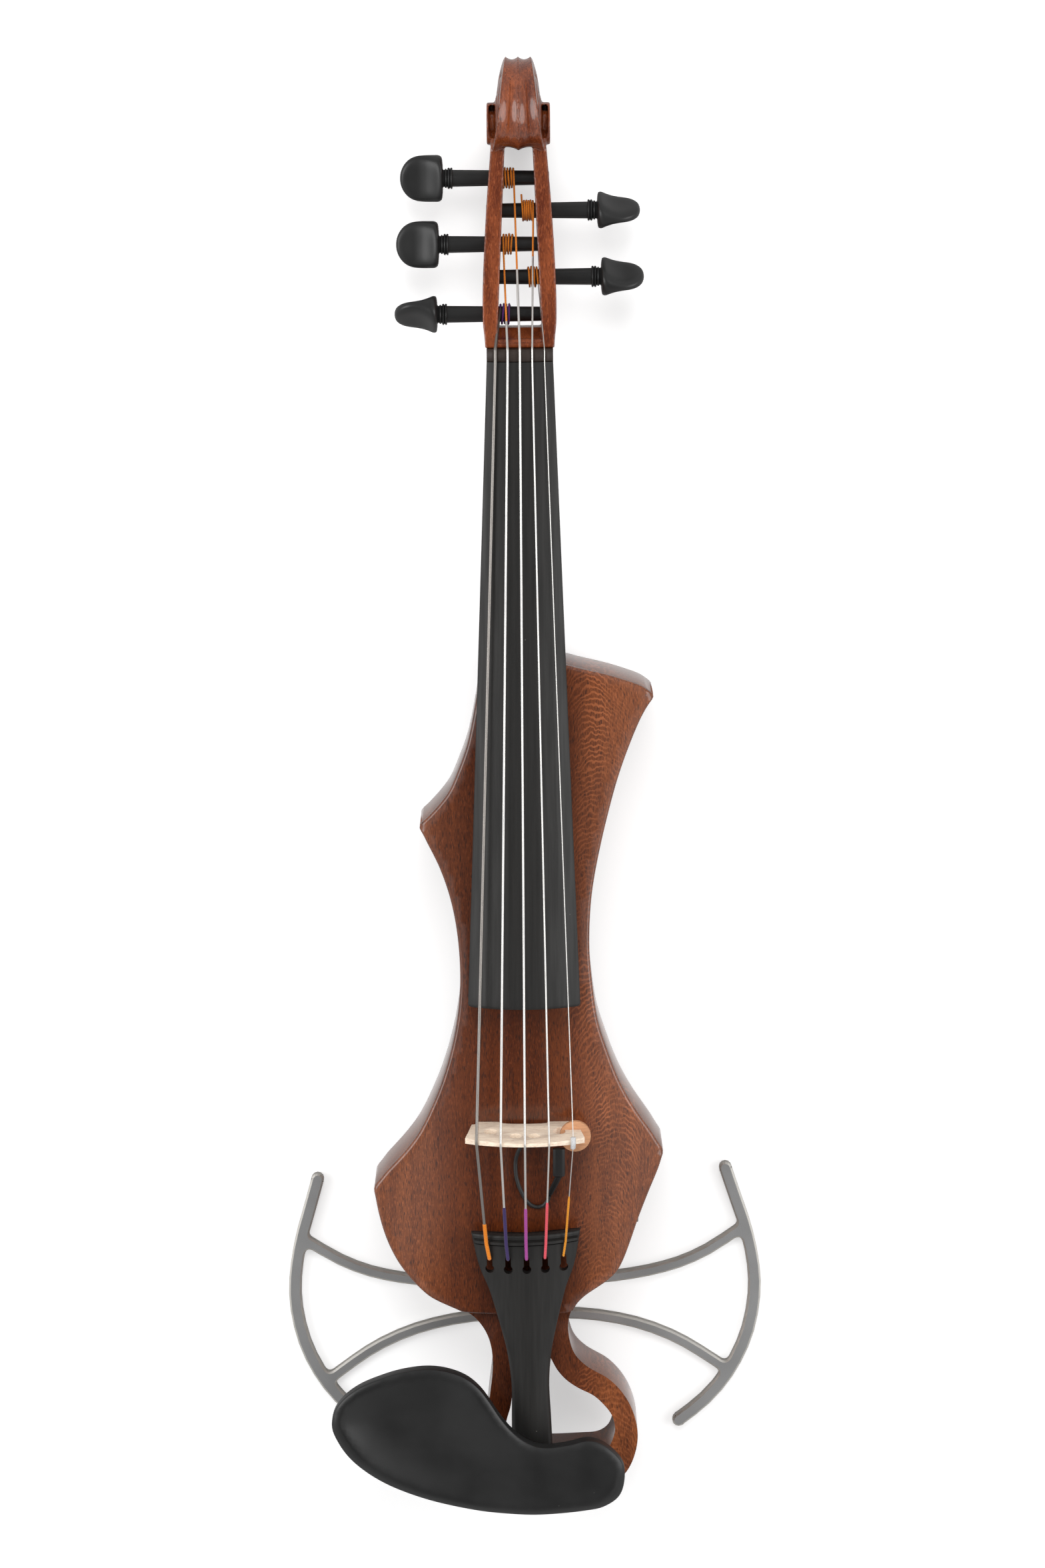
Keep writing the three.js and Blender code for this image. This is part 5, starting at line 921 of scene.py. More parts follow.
def split_spruce(name):
    """Spruce split along its grain, for the parts inside: pale straw wood with a brown line each year."""
    material, node = new_material(name)
    parts = node("ShaderNodeSeparateXYZ", {"Vector": (node("ShaderNodeTexCoord"), "Object")})
    years = node("ShaderNodeMath", {0: (parts, "X"), 1: 2 * math.pi / (1.6 * MM)}, operation="MULTIPLY")
    years = node("ShaderNodeMath", {0: years}, operation="SINE")
    years = node("ShaderNodeMath", {0: years, 1: 0.5, 2: 0.5}, operation="MULTIPLY_ADD")
    tint = node("ShaderNodeValToRGB", {"Fac": years}, [(0.5, linear("#D8B27A")), (1.0, linear("#A9784A"))])
    bump = node("ShaderNodeBump", {"Height": years, "Distance": 0.03 * MM, "Strength": 0.3})
    shader = node(
        "ShaderNodeBsdfPrincipled", {"Base Color": tint, "Roughness": 0.65, "Normal": bump, "IOR": 1.45}
    )
    node("ShaderNodeOutputMaterial", {"Surface": shader})
    return material


def finish_of(name):
    """The named finish, made once."""
    found = bpy.data.materials.get(name)
    if found:
        return found
    c = colours()
    stained = (open_pored_mahogany, c.body_dark, c.body_light, c.body_pore)
    polished = (open_pored_mahogany, c.neck_dark, c.neck_light, c.neck_pore)
    black, dark_nylon = linear("#1F1F1F"), linear("#1B1712")
    vinyl = partial(soft_extrusion, Transmission_Weight=0.35)
    made = {
        "stained_open_pored_mahogany": (*stained, 0.5, 0.4, True, 0.7),
        "burnished_open_pored_mahogany": (*stained, 0.4, 0.9, True),
        "lacquered_polished_mahogany": (*polished, 0.3, 0.8, False),
        "oiled_ebony": (oiled_ebony, c.ebony),
        "brown_ebony": (oiled_ebony, c.nut_wood),
        "knife_cut_plane_wood": (knife_cut_plane_wood, c.bridge_wood, 0.4),
        "sanded_disc_wood": (knife_cut_plane_wood, c.disc_wood, 0.2),
        "satin_moulded_plastic": (satin_moulded_plastic, c.black_plastic, 0.36),
        "blasted_anodised_aluminium": (blasted_anodised_aluminium, c.frame_metal, 0.55),
        "bright_milled_aluminium": (machined_metal, linear("#D8D5CF"), 0.5),
        "turned_steel": (machined_metal, linear("#C8C8C6"), 0.26),
        "plated_nickel": (machined_metal, linear("#BDB8AD"), 0.16),
        "flat_wound_steel": (flat_wound_string, linear("#E2E0DC"), 0.28),
        "flat_wound_tungsten": (flat_wound_string, linear("#9A9590"), 0.36),
        "wound_silk_ends": (wound_silk, c.silk_ends),
        "wound_silk_violet": (wound_silk, linear("#63307E")),
        "extruded_rubber": (soft_extrusion, [0.85 * v for v in black], [1.2 * v for v in black], 0.48, 0.8),
        "extruded_vinyl": (vinyl, linear("#D6D7D8"), linear("#EEEFF0"), 0.22, 0.8),
        "drawn_nylon": (soft_extrusion, dark_nylon, [2.0 * v for v in dark_nylon], 0.25, 0.5),
        "pressed_cork": (pressed_cork,),
        "split_spruce": (split_spruce,),
        **{f"wound_silk_{s}": (wound_silk, getattr(c, f"silk_{s}")) for s in STRINGS},
    }
    maker, *values = made[name]
    return maker(name, *values)


# Pieces


def violin_piece(name, shape, finish, nodes=(), body="violin", sharp=40.0):
    """A piece made from a shape, dressed and set on its body."""
    return put_on(new_object(name, shape, finish_of(finish), sharp), body, nodes)


def fitting(node, how, finish, edge, body="violin"):
    """A piece whose solid has the right shape: its edges eased, dressed, and named for how it is made."""
    return put_on(softened(f"{node}_{how}", node, finish_of(finish), edge), body, [node])


class PieceOperator(bpy.types.Operator):
    """One piece of the violin, or a group of like pieces"""

    bl_idname = "violin.piece"
    bl_label = "Piece"
    bl_options = {"REGISTER", "UNDO"}

    def make(self):
        raise NotImplementedError

    def execute(self, context):
        self.make()
        return {"FINISHED"}


class VIOLIN_OT_camera(PieceOperator):
    """Camera where the photograph was taken from, far off and a little towards the scroll"""

    bl_idname = "violin.camera"
    bl_label = "Camera"

    def make(self):
        tilt, roll, far = math.radians(10.2), math.radians(0.384), 2000.0
        seen = Vector((0.3, 230.0, 0))
        back = Vector((0, math.sin(tilt), math.cos(tilt)))
        level = Vector((0, math.cos(tilt), -math.sin(tilt)))
        right = math.cos(roll) * Vector((1, 0, 0)) - math.sin(roll) * level
        up = math.sin(roll) * Vector((1, 0, 0)) + math.cos(roll) * level
        data = bpy.data.cameras.new("camera")
        data.lens, data.sensor_width, data.clip_start, data.clip_end = 106.13, 36.0, 0.05, 60.0
        camera = bpy.data.objects.new("camera", data)
        bpy.context.scene.collection.objects.link(camera)
        turn = Matrix((right, up, back)).transposed().to_4x4()
        camera.matrix_world = Matrix.Translation((seen + far * back) * MM) @ turn
        bpy.context.scene.camera = camera


class VIOLIN_OT_pickup_cable(PieceOperator):
    """The pickup's thin cable, which loops over the top and goes back into it by the bridge"""

    bl_idname = "violin.pickup_cable"
    bl_label = "Pickup cable"

    def make(self):
        radius, above = 0.85, 0.3
        route = [(x, y, plate_top(x, y) + above + radius + up) for x, y, up in CABLE_ROUTE]
        line = smooth_line(route, count=120)
        shape, finish = tube(line, radius, sides=12), "extruded_rubber"
        cable = violin_piece("pickup_cable_jacket", shape, finish, ["pickup_cable"])


class VIOLIN_OT_stage(PieceOperator):
    """White floor and soft lamps in a white room, whose ceiling is dark between two long strips of light"""

    bl_idname = "violin.stage"
    bl_label = "Stage"

    def make(self):
        floor, node = new_material("white_paper_floor")
        path = node("ShaderNodeLightPath")
        direct, through = (path, "Is Camera Ray"), (path, "Is Transmission Ray")
        seen = node("ShaderNodeMath", {0: direct, 1: through}, operation="ADD")
        seen = node("ShaderNodeMath", {0: seen, 1: 0.5}, operation="MULTIPLY")
        mirrored = (path, "Is Glossy Ray")
        tone = node("ShaderNodeMath", {0: mirrored, 1: -0.22, 2: 0.66}, operation="MULTIPLY_ADD")
        paper = node("ShaderNodeBsdfPrincipled", {"Base Color": tone, "Roughness": 0.9})
        glow = node("ShaderNodeEmission", {"Strength": seen})
        both = node("ShaderNodeAddShader", {0: paper, 1: glow})
        node("ShaderNodeOutputMaterial", {"Surface": both})
        half, low = 3500.0, -0.15
        sheet = [(-half, -half, low), (half, -half, low), (half, half, low), (-half, half, low)]
        new_object("floor", (sheet, [(0, 1, 2, 3)]), floor)
        world = bpy.data.worlds.new("white_room_with_strips")
        bpy.context.scene.world = world
        world.use_nodes = True
        world.node_tree.nodes.clear()
        node = partial(add_node, world.node_tree)
        path = node("ShaderNodeLightPath")
        direct, through = (path, "Is Camera Ray"), (path, "Is Transmission Ray")
        height = node("ShaderNodeSeparateXYZ", {"Vector": (node("ShaderNodeTexCoord"), "Generated")})
        walls = node("ShaderNodeValToRGB", {"Fac": (height, "Z")}, [(0.1, 0.8), (0.45, 0.4), (0.8, 0.0)])
        aside = node("ShaderNodeMath", {0: (height, "X"), 1: 0.5, 2: 0.5}, operation="MULTIPLY_ADD")
        places = (-1, -0.5, -0.34, -0.24, -0.16, -0.1, 0.1, 0.18, 0.3, 0.6, 1)
        levels = (1.0, 0.5, 0.4, 1.0, 0.1, 0.0, 0.0, 0.6, 0.9, 0.5, 1.0)
        stops = [(0.5 + 0.5 * x, level) for x, level in zip(places, levels)]
        strips = node("ShaderNodeValToRGB", {"Fac": aside}, stops)
        walls = node("ShaderNodeMath", {0: walls, 1: strips}, operation="MAXIMUM")
        mirrored = node("ShaderNodeMath", {0: (path, "Is Glossy Ray"), 1: walls}, operation="MULTIPLY")
        diffuse = node("ShaderNodeMath", {0: (path, "Is Diffuse Ray"), 1: 0.42}, operation="MULTIPLY")
        seen = node("ShaderNodeMath", {0: direct, 1: through}, operation="MAXIMUM")
        bright = node("ShaderNodeMath", {0: mirrored, 1: diffuse}, operation="MAXIMUM")
        bright = node("ShaderNodeMath", {0: bright, 1: seen}, operation="MAXIMUM")
        room = node("ShaderNodeBackground", {"Color": (1, 1, 1), "Strength": bright})
        node("ShaderNodeOutputWorld", {"Surface": room})
        for name, place, size, power, reflected in (
            ("left_lamp", (-1500, 500, 1300), 1500, 19.0, True),
            ("right_lamp", (1500, 300, 1300), 1500, 16.0, True),
            ("head_lamp", (0, 1600, 1900), 1100, 22.0, False),
        ):
            data = bpy.data.lights.new(name, "AREA")
            data.shape, data.size, data.energy = "DISK", size * MM, power
            lamp = bpy.data.objects.new(name, data)
            bpy.context.scene.collection.objects.link(lamp)
            aim = Vector((0, 200, 30)) - Vector(place)
            lamp.location, lamp.rotation_mode = Vector(place) * MM, "QUATERNION"
            lamp.rotation_quaternion = aim.to_track_quat("-Z", "Y")
            lamp.visible_glossy = reflected
        bpy.context.scene.view_settings.view_transform = "Standard"


class VIOLIN_OT_body(PieceOperator):
    """Ribs, back and the two arms of the lyre, carved from one block"""

    bl_idname = "violin.body"
    bl_label = "Body"

    def make(self):
        loops = loops_of("body_shell", RIBS_TOP_Z)
        outer, opening = loops[0], min(loops[1:], key=lambda loop: loop[:, 1].mean())
        outer = eased_loop(outer, spacing=1.6, ease=0.9)
        opening = eased_loop(opening, spacing=1.3, ease=0.8)[::-1]
        rim, arms_end, fade = sizes().arm_rim / MM, PLATE_START_Y - 2, 3

        def top(x, y, away):
            return RIBS_TOP_Z - rounded_edge(away, rim) * np.clip((arms_end - y) / fade, 0, 1)

        bottom = flat_at(RIBS_BOTTOM_Z)
        shape = carved_plate([outer, opening], top, bottom, top_rim=0.05, bottom_rim=1.6, spacing=9.0)
        body = new_object("body_ribs_and_arms", shape, finish_of("stained_open_pored_mahogany"))
        seat_radius, seat_x, bore_radius, bore_x, outer_x = 8.6, 47.07, 6.0, 20, 70
        tools = []
        for radius, start in ((seat_radius, seat_x), (bore_radius, bore_x)):
            bore = circle(SOCKET_Y, SOCKET_Z, radius, count=40)
            tools.append(new_object("socket_tool", upright_block(bore, start, outer_x, axis=0)))
        cut(body, *tools)
        finish_mesh(body)
        put_on(body, "violin", ["body_shell"])


class VIOLIN_OT_top(PieceOperator):
    """Arched top plate with its rounded rim"""

    bl_idname = "violin.top"
    bl_label = "Top plate"

    def make(self):
        hole_radius, rim = 2.15, sizes().body_rim / MM
        outline = eased_loop(loops_of("top_plate", RIBS_TOP_Z)[0], spacing=1.5, ease=0.9)
        hole = circle(GROMMET_X, GROMMET_Y, hole_radius, count=24)[::-1]
        top = lambda x, y, away: plate_top(x, y)
        bottom = flat_at(RIBS_TOP_Z)
        shape = carved_plate([outline, hole], top, bottom, top_rim=rim, bottom_rim=0.1, spacing=2.6)
        finish = "burnished_open_pored_mahogany"
        violin_piece("top_plate_carved", shape, finish, ["top_plate"])


def pegbox_half_width(y):
    """Half the width of the pegbox along it, widest behind the nut and narrow at the throat."""
    throat, spread = 23.0, 7.6
    shares = (
        (-0.3, 0.8), (0, 0.76), (0.14, 1), (0.27, 1), (0.48, 0.82), (0.73, 0.487), (0.92, 0.154), (1, 0),
        (1.15, -0.45),
    )
    return (throat + spread * read_table(shares, (y - NUT_BACK_Y) / PEGBOX_LENGTH)) / 2


def scroll_turn(radii, halves, flute, centre, steps=132):
    """The volute round the eye: its band is hollowed into two flutes beside a middle ridge, and a groove
    winds in along each flank."""
    core, lip, groove, fading = 9.0, 0.5, 1.3, 1.5
    share = np.linspace(0, 1, steps)
    at = np.linspace(0, 1, len(radii))
    radius = read_table(np.column_stack([at, radii]), share) * SCROLL_RADIUS
    half = read_table(np.column_stack([at, halves]), share) * SCROLL_HALF_WIDTH
    across = np.linspace(-1, 1, 41)
    side = np.abs(across)
    hollow = np.sin(np.pi * np.clip(side / 0.94, 0, 1)) ** 0.8 * np.clip((1 - side) / 0.12, 0, 1) ** 0.5
    rings = []
    first = read_table(((0, 20.2), (0.125, 21.4), (0.25, 20.6), (0.5, 14.8), (0.66, 9.4), (1, core)), share)
    second = read_table(((0, 14.6), (0.25, 13.6), (0.5, 10.6), (0.56, 9.4), (1, core)), share)
    for a, r, w, lines in zip(share * 2 * math.pi, radius, half, zip(first, second)):
        depth = flute * min(1.0, w / 8.0)
        reach = np.linspace(core, r - lip, 22)
        out = np.interp(reach, (core, r - lip), (max(centre + 0.2, w), w))
        for line in lines:
            fade = min(1.0, max(0.0, (line - 9.6) / fading), max(0.0, (r - fading - line) / fading))
            out = out - groove * fade * np.exp(-((reach - line) ** 2))
        flank = [(centre, 0.0), *zip(out, reach)]
        profile = [(-x, q) for x, q in flank]
        profile += [(w * u, r - depth * h) for u, h in zip(across, hollow)]
        profile += flank[::-1]
        rings.append([(NUT_X + x, EYE_Y + q * math.sin(a), EYE_Z - q * math.cos(a)) for x, q in profile])
    rings = np.array(rings)
    count, points = rings.shape[:2]
    faces = []
    for i in range(count):
        n = (i + 1) % count
        for k in range(points - 1):
            faces.append((i * points + k, i * points + k + 1, n * points + k + 1, n * points + k))
    return rings.reshape(-1, 3), faces


class VIOLIN_OT_neck_and_scroll(PieceOperator):
    """Neck, pegbox and the carved scroll with its fluted band and eyes"""

    bl_idname = "violin.neck_and_scroll"
    bl_label = "Neck and scroll"

    def make(self):
        made = new_object("neck_and_carved_scroll", together(self.neck(), *self.volute()))
        pegbox = self.pegbox()
        with_pegbox = together(self.shape_of(made), self.shape_of(pegbox))
        bpy.data.objects.remove(pegbox)
        bpy.data.objects.remove(made)
        made = new_object("neck_and_carved_scroll", with_pegbox)
        carve(made, grain=0.4, strokes=4)
        made.data.materials.clear()
        made.data.materials.append(finish_of("lacquered_polished_mahogany"))
        put_on(made, "violin", ["neck_and_scroll"])

    def shape_of(self, obj):
        """An object's points in millimetres, and its faces."""
        verts = np.array([v.co for v in obj.data.vertices]) / MM
        return verts, [tuple(p.vertices) for p in obj.data.polygons]

    def neck(self):
        """The shaft with its rounded back and the heel that comes down to the body."""
        heel_y, heel_length, heel_bottom = 289.5, 24.0, 15.0
        thickness, growth_length, gap = 11.2, 127, 0.2
        drop = ((0, 1), (0.07, 0.8), (0.18, 0.52), (0.35, 0.25), (0.6, 0.08), (1, 0), (1.2, 0))
        rings = []
        stations = np.concatenate([np.linspace(289.6, 313.5, 26), np.linspace(316, 426, 30)])
        for y in stations:
            at = min(y, NUT_Y)
            low = float(np.clip(read_table(drop, min((y - heel_y) / heel_length, 1.1)), 0, 1))
            half = board_half_width(at) - 0.35
            half = half * (1 - low) + min(half, 16.5 - 4.5 * low) * low
            under = board_top(at) - bow(BOARD_RADIUS, half) - BOARD_EDGE - gap
            neck = under - thickness - (NUT_Y - at) / growth_length
            bottom = neck + (heel_bottom - neck) * low
            power = 0.75 - 0.35 * low
            turn = np.linspace(0, math.pi, 25)
            c, s = np.cos(turn), np.sin(turn)
            x = half * np.sign(c) * np.abs(c) ** power
            z = under - (under - bottom) * np.abs(s) ** power
            rings.append([(NUT_X + a, y, b) for a, b in zip(x, z)])
        return skinned(rings)

    def volute(self):
        """The scroll's turn and its two ears, each hollowed out beside its eye."""
        radius_shares = (
            0.906, 0.93, 0.96, 0.99, 1.0, 0.965, 0.9, 0.83, 0.755, 0.65, 0.53, 0.43, 0.4, 0.4, 0.4, 0.4, 0.4,
        )
        width_shares = (
            0.74, 0.7, 0.62, 0.5, 0.41, 0.45, 0.52, 0.59, 0.67, 0.75, 0.8, 0.8, 0.8, 0.8, 0.8, 0.8, 0.8,
        )
        shapes = [scroll_turn(radius_shares, width_shares, flute=1.7, centre=9.6)]
        end = SCROLL_HALF_WIDTH
        disc = ((6, 8.3), (8, 8.75), (12.9, 8.75), (end, 8.4), (end, 6.7), (12.9, 6.4))
        eye = ((4, 5.4), (12.4, 5.2), (12.9, 5.0), (end, 4.5), (end, 3.0))
        low, high, within = 506.8, 521.8, 8.0
        pocket = [
            (within, high), (11.7, high), (12.1, 521.3), (12.1, 515), (12.0, 511), (11.3, 508.6),
            (9.8, 507.2), (within, low),
        ]
        pocket = [*smooth_line(pocket, count=30), (5, low), (5, high)]
        for side in (-1, 1):
            ear = new_object("ear", self.turned(side, disc))
            plan = [(NUT_X + side * x, y) for x, y in pocket]
            cut(ear, new_object("pocket_tool", upright_block(plan, EYE_Z - 4, 60)))
            shapes += [self.shape_of(ear), self.turned(side, eye)]
            bpy.data.objects.remove(ear)
        return shapes

    def turned(self, side, profile):
        """A shape turned round the scroll's eye: distances to one side, each with its radius."""
        turn = np.linspace(0, 2 * math.pi, 48, endpoint=False)
        return skinned([
            [(NUT_X + side * x, EYE_Y + r * math.cos(a), EYE_Z + r * math.sin(a)) for a in turn]
            for x, r in profile
        ])

    def pegbox(self):
        """The pegbox's two cheeks, its chin and its open slot, with the peg holes."""
        start, chin_end, aside = PEGBOX_START_Y, (438.96, 17.3), 30
        chin = smooth_line([chin_end, (433.2, 20.4), (427.6, 27.9), (424.6, 33.2), (start, 35.6)], 24)
        back = smooth_line([(513.5, 0.6), (508.5, 1.5), (502, 4.6), (496.4, 8.3), (480, 12.0), chin_end], 40)
        side = [(start, PEGBOX_TOP_Z), (THROAT_Y, 31.86), (510.5, 28.5), (EYE_Y, EYE_Z)]
        side += [*back, *chin[1:], (start, 36.0)]
        block = new_object("pegbox_block", upright_block(side, -aside, aside, axis=0))
        y = np.linspace(416, 516, 60)
        half = pegbox_half_width(y)
        plan = np.vstack([np.column_stack([NUT_X + half, y]), np.column_stack([NUT_X - half, y])[::-1]])
        cut(block, new_object("plan_tool", upright_block(plan, -10, 60)), operation="INTERSECT")
        open_y, end, above, below = 424.4, THROAT_Y, 60, -5
        slot = [(9.35, open_y), (9.15, 430), (5.8, end), (-5.8, end), (-9.15, 430), (-9.35, open_y)]
        slot = new_object("slot_tool", upright_block([(NUT_X + x, y) for x, y in slot], -10, above))
        ramp = [(open_y, above), (open_y, 47.6), (427, 42.0), (430, 34.4), (430.6, below), (end, below)]
        ramp = new_object("ramp_tool", upright_block([*ramp, (end, above)], -aside, aside, axis=0))
        cut(slot, ramp, operation="INTERSECT")
        bore_radius, holes = 3.65, []
        for name in STRINGS:
            _, y, z = peg_place(name)
            bore = circle(y, z, bore_radius, count=28)
            holes.append(new_object("hole_tool", upright_block(bore, -aside, aside, axis=0)))
        return cut(block, slot, *holes)


class VIOLIN_OT_fingerboard(PieceOperator):
    """Ebony fingerboard, arched across, with eased corners at its lower end"""

    bl_idname = "violin.fingerboard"
    bl_label = "Fingerboard"

    def make(self):
        rings = []
        ends = np.array([0, 0.15, 0.4, 0.8, 1.4])
        stations = np.concatenate([BOARD_END_Y + ends, np.linspace(152, 412, 40), NUT_Y - ends[1::-1]])
        for y in stations:
            inset = rounded_edge(y - BOARD_END_Y, ends[-1]) * 1.1
            rings.append(self.section(y, board_half_width(y) - inset, inset))
        violin_piece("fingerboard_ebony", skinned(rings), "oiled_ebony", ["fingerboard"], sharp=50)

    def section(self, y, half, drop):
        """One cross-section: the arch, its two eased edges and the flat underside."""
        under = board_top(y) - bow(BOARD_RADIUS, half) - BOARD_EDGE + 0.1 * drop
        across = np.linspace(1, -1, 37) * (half - 0.35)
        arch = [(x, board_top(y) - drop * 0.5 - bow(BOARD_RADIUS, x)) for x in across]
        edge = arch[0][1]
        right = [(half - 0.25, under), (half, under + 0.4), (half, edge - 0.5), (half - 0.1, edge - 0.18)]
        left = [(-x, z) for x, z in right[::-1]]
        return [(NUT_X + x, y, z) for x, z in right + arch + left]


class VIOLIN_OT_nut(PieceOperator):
    """Nut with a groove for each string"""

    bl_idname = "violin.nut"
    bl_label = "Nut"

    def make(self):
        half, bottom, length, spacing = 13.8, 46.2, 5.3, 5.1
        rings = []
        places = [(i - 2) * spacing for i in range(5)]
        x = np.linspace(-13.75, 13.75, 111)
        groove = sum(0.45 * np.exp(-(((x - p) / 0.55) ** 2)) for p in places)
        for share in (0, 0.06, 0.2, 0.5, 0.8, 0.94, 1):
            y = NUT_Y + 0.05 + share * length
            rim = 0.9 * abs(2 * share - 1) ** 4
            top = board_top(NUT_Y) + 0.4 - bow(BOARD_RADIUS, x) - groove - rim
            arch = list(zip(x[::-1], top[::-1]))
            right = [(half, bottom), (half, arch[0][1] - 0.5)]
            left = [(-half, arch[-1][1] - 0.5), (-half, bottom)]
            rings.append([(NUT_X + a, y, b) for a, b in right + arch + left])
        violin_piece("nut_grooved", skinned(rings), "brown_ebony", ["nut"], sharp=50)


class VIOLIN_OT_pegs(PieceOperator):
    """Five pegs: a tapered shank, a ringed collar and a dished head"""

    bl_idname = "violin.pegs"
    bl_label = "Pegs"

    def make(self):
        sides, turns = (-1, -1, -1, 1, 1), (58, 4, 10, 66, 62)
        for name, side, turned in zip(STRINGS, sides, turns):
            x0, y0, z0 = peg_place(name)
            cheek = float(pegbox_half_width(y0))
            rings = [
                [(x0 - side * x, y0 - side * p, z0 + q) for p, q in ring]
                for x, ring in self.sections(cheek, math.radians(turned))
            ]
            node = f"peg_{name}"
            finish = "satin_moulded_plastic"
            violin_piece(f"{node}_turned", skinned(rings), finish, [node], body=node, sharp=55)

    def sections(self, cheek, turned):
        """Sections from the tip to the end of the head: place along the peg, and its ring."""
        angle = np.linspace(0, 2 * math.pi, 48, endpoint=False)
        ahead, aside = math.cos(turned), math.sin(turned)
        round_ring = lambda r: [(r * math.cos(a), r * math.sin(a)) for a in angle]
        shank, collar_length, head_reach, head_half_width = 15.0, 4.0, 22.0, 9.8
        tip_radius, growth, neck = 2.9, 0.65, -cheek - shank
        made = [(cheek - back, round_ring(r)) for back, r in ((0, 2.2), (0.15, 2.75), (0.5, tip_radius))]
        for x in np.linspace(cheek - 1, neck + 0.3, 14):
            made.append((x, round_ring(tip_radius + growth * (cheek - x) / (cheek - neck))))
        collar = (
            (0, 3.55), (0.01, 4.2), (0.06, 4.45), (0.17, 4.45), (0.22, 4.2), (0.25, 3.85), (0.3, 4.2),
            (0.34, 4.45), (0.45, 4.45), (0.5, 4.2), (0.54, 3.6), (0.6, 3.7), (0.66, 4.0), (0.76, 4.0),
            (0.82, 3.6), (0.9, 3.5), (1, 3.9),
        )
        made += [(neck - share * collar_length, round_ring(radius)) for share, radius in collar]
        start, end = neck - collar_length, neck - head_reach
        width_shares = (
            (0, 0.5), (0.015, 0.8), (0.04, 0.92), (0.1, 0.985), (0.22, 1), (0.45, 1), (0.6, 0.97),
            (0.7, 0.91), (0.8, 0.8), (0.9, 0.6), (0.96, 0.39), (0.99, 0.2), (1, 0.04),
        )
        thickness = (
            (0, 4.2), (0.015, 5.7), (0.04, 6.4), (0.08, 6.5), (0.15, 5.9), (0.27, 4.6), (0.42, 3.4),
            (0.6, 2.7), (0.8, 2.55), (0.92, 2.2), (0.98, 1.3), (1, 0.2),
        )
        near, far = (0.003, 0.015, 0.03, 0.05, 0.08), (0.935, 0.96, 0.98, 0.99, 0.998)
        for share in (*near, *np.linspace(0.12, 0.9, 20), *far):
            wide, deep = head_half_width * read_table(width_shares, share), read_table(thickness, share)
            hollow = 0.25 * math.sin(math.pi * min(1.0, share * 1.03)) ** 0.8
            ring = []
            for a in angle:
                c, s = math.cos(a), math.sin(a)
                p = wide * math.copysign(abs(c) ** 0.8, c)
                q = deep * math.copysign(abs(s) ** 0.75, s) * (1 - hollow * abs(s) ** 4)
                ring.append((p * ahead - q * aside, p * aside + q * ahead))
            made.append((start + (end - start) * share, ring))
        return made


def string_facts(i):
    """What a string's line depends on: its thickness, where it crosses the nut, its silk and its peg."""
    return {
        "radius": (0.65, 0.525, 0.5, 0.4, 0.22)[i],
        "wrap": (0.85, 0.75, 0.7, 0.6, 0.5)[i],
        "nut": ((-9.8, 54.04), (-4.7, 54.84), (0.4, 55.12), (5.5, 54.71), (10.6, 53.58))[i],
        "silk_end": (0.2, 0.38, 0.37, 0.42, 0.46)[i],
        "silk_start_y": (470.0, 433.5, 454.5, 459.5, 448.0)[i],
        "peg": peg_place(STRINGS[i])[1:],
        "winding_x": (-7.7, -6.3, -1.7, 6.4, 7.8)[i],
        "loops": (3.2, 3.4, 4.3, 5.1, 3.3)[i],
        "pitch": (1.25, 1.2, -1.15, -0.92, -1.15)[i],
    }


def winding_touch(facts):
    """The angle at which a string meets the top of its winding, and the place there."""
    peg_y, peg_z = facts["peg"]
    run, fall = peg_y - NUT_BACK_Y, facts["nut"][1] - NUT_SINK - peg_z
    dip = math.atan2(fall, run) - math.asin(WINDING_RADIUS / math.hypot(run, fall))
    return dip, peg_y + WINDING_RADIUS * math.sin(dip), peg_z + WINDING_RADIUS * math.cos(dip)


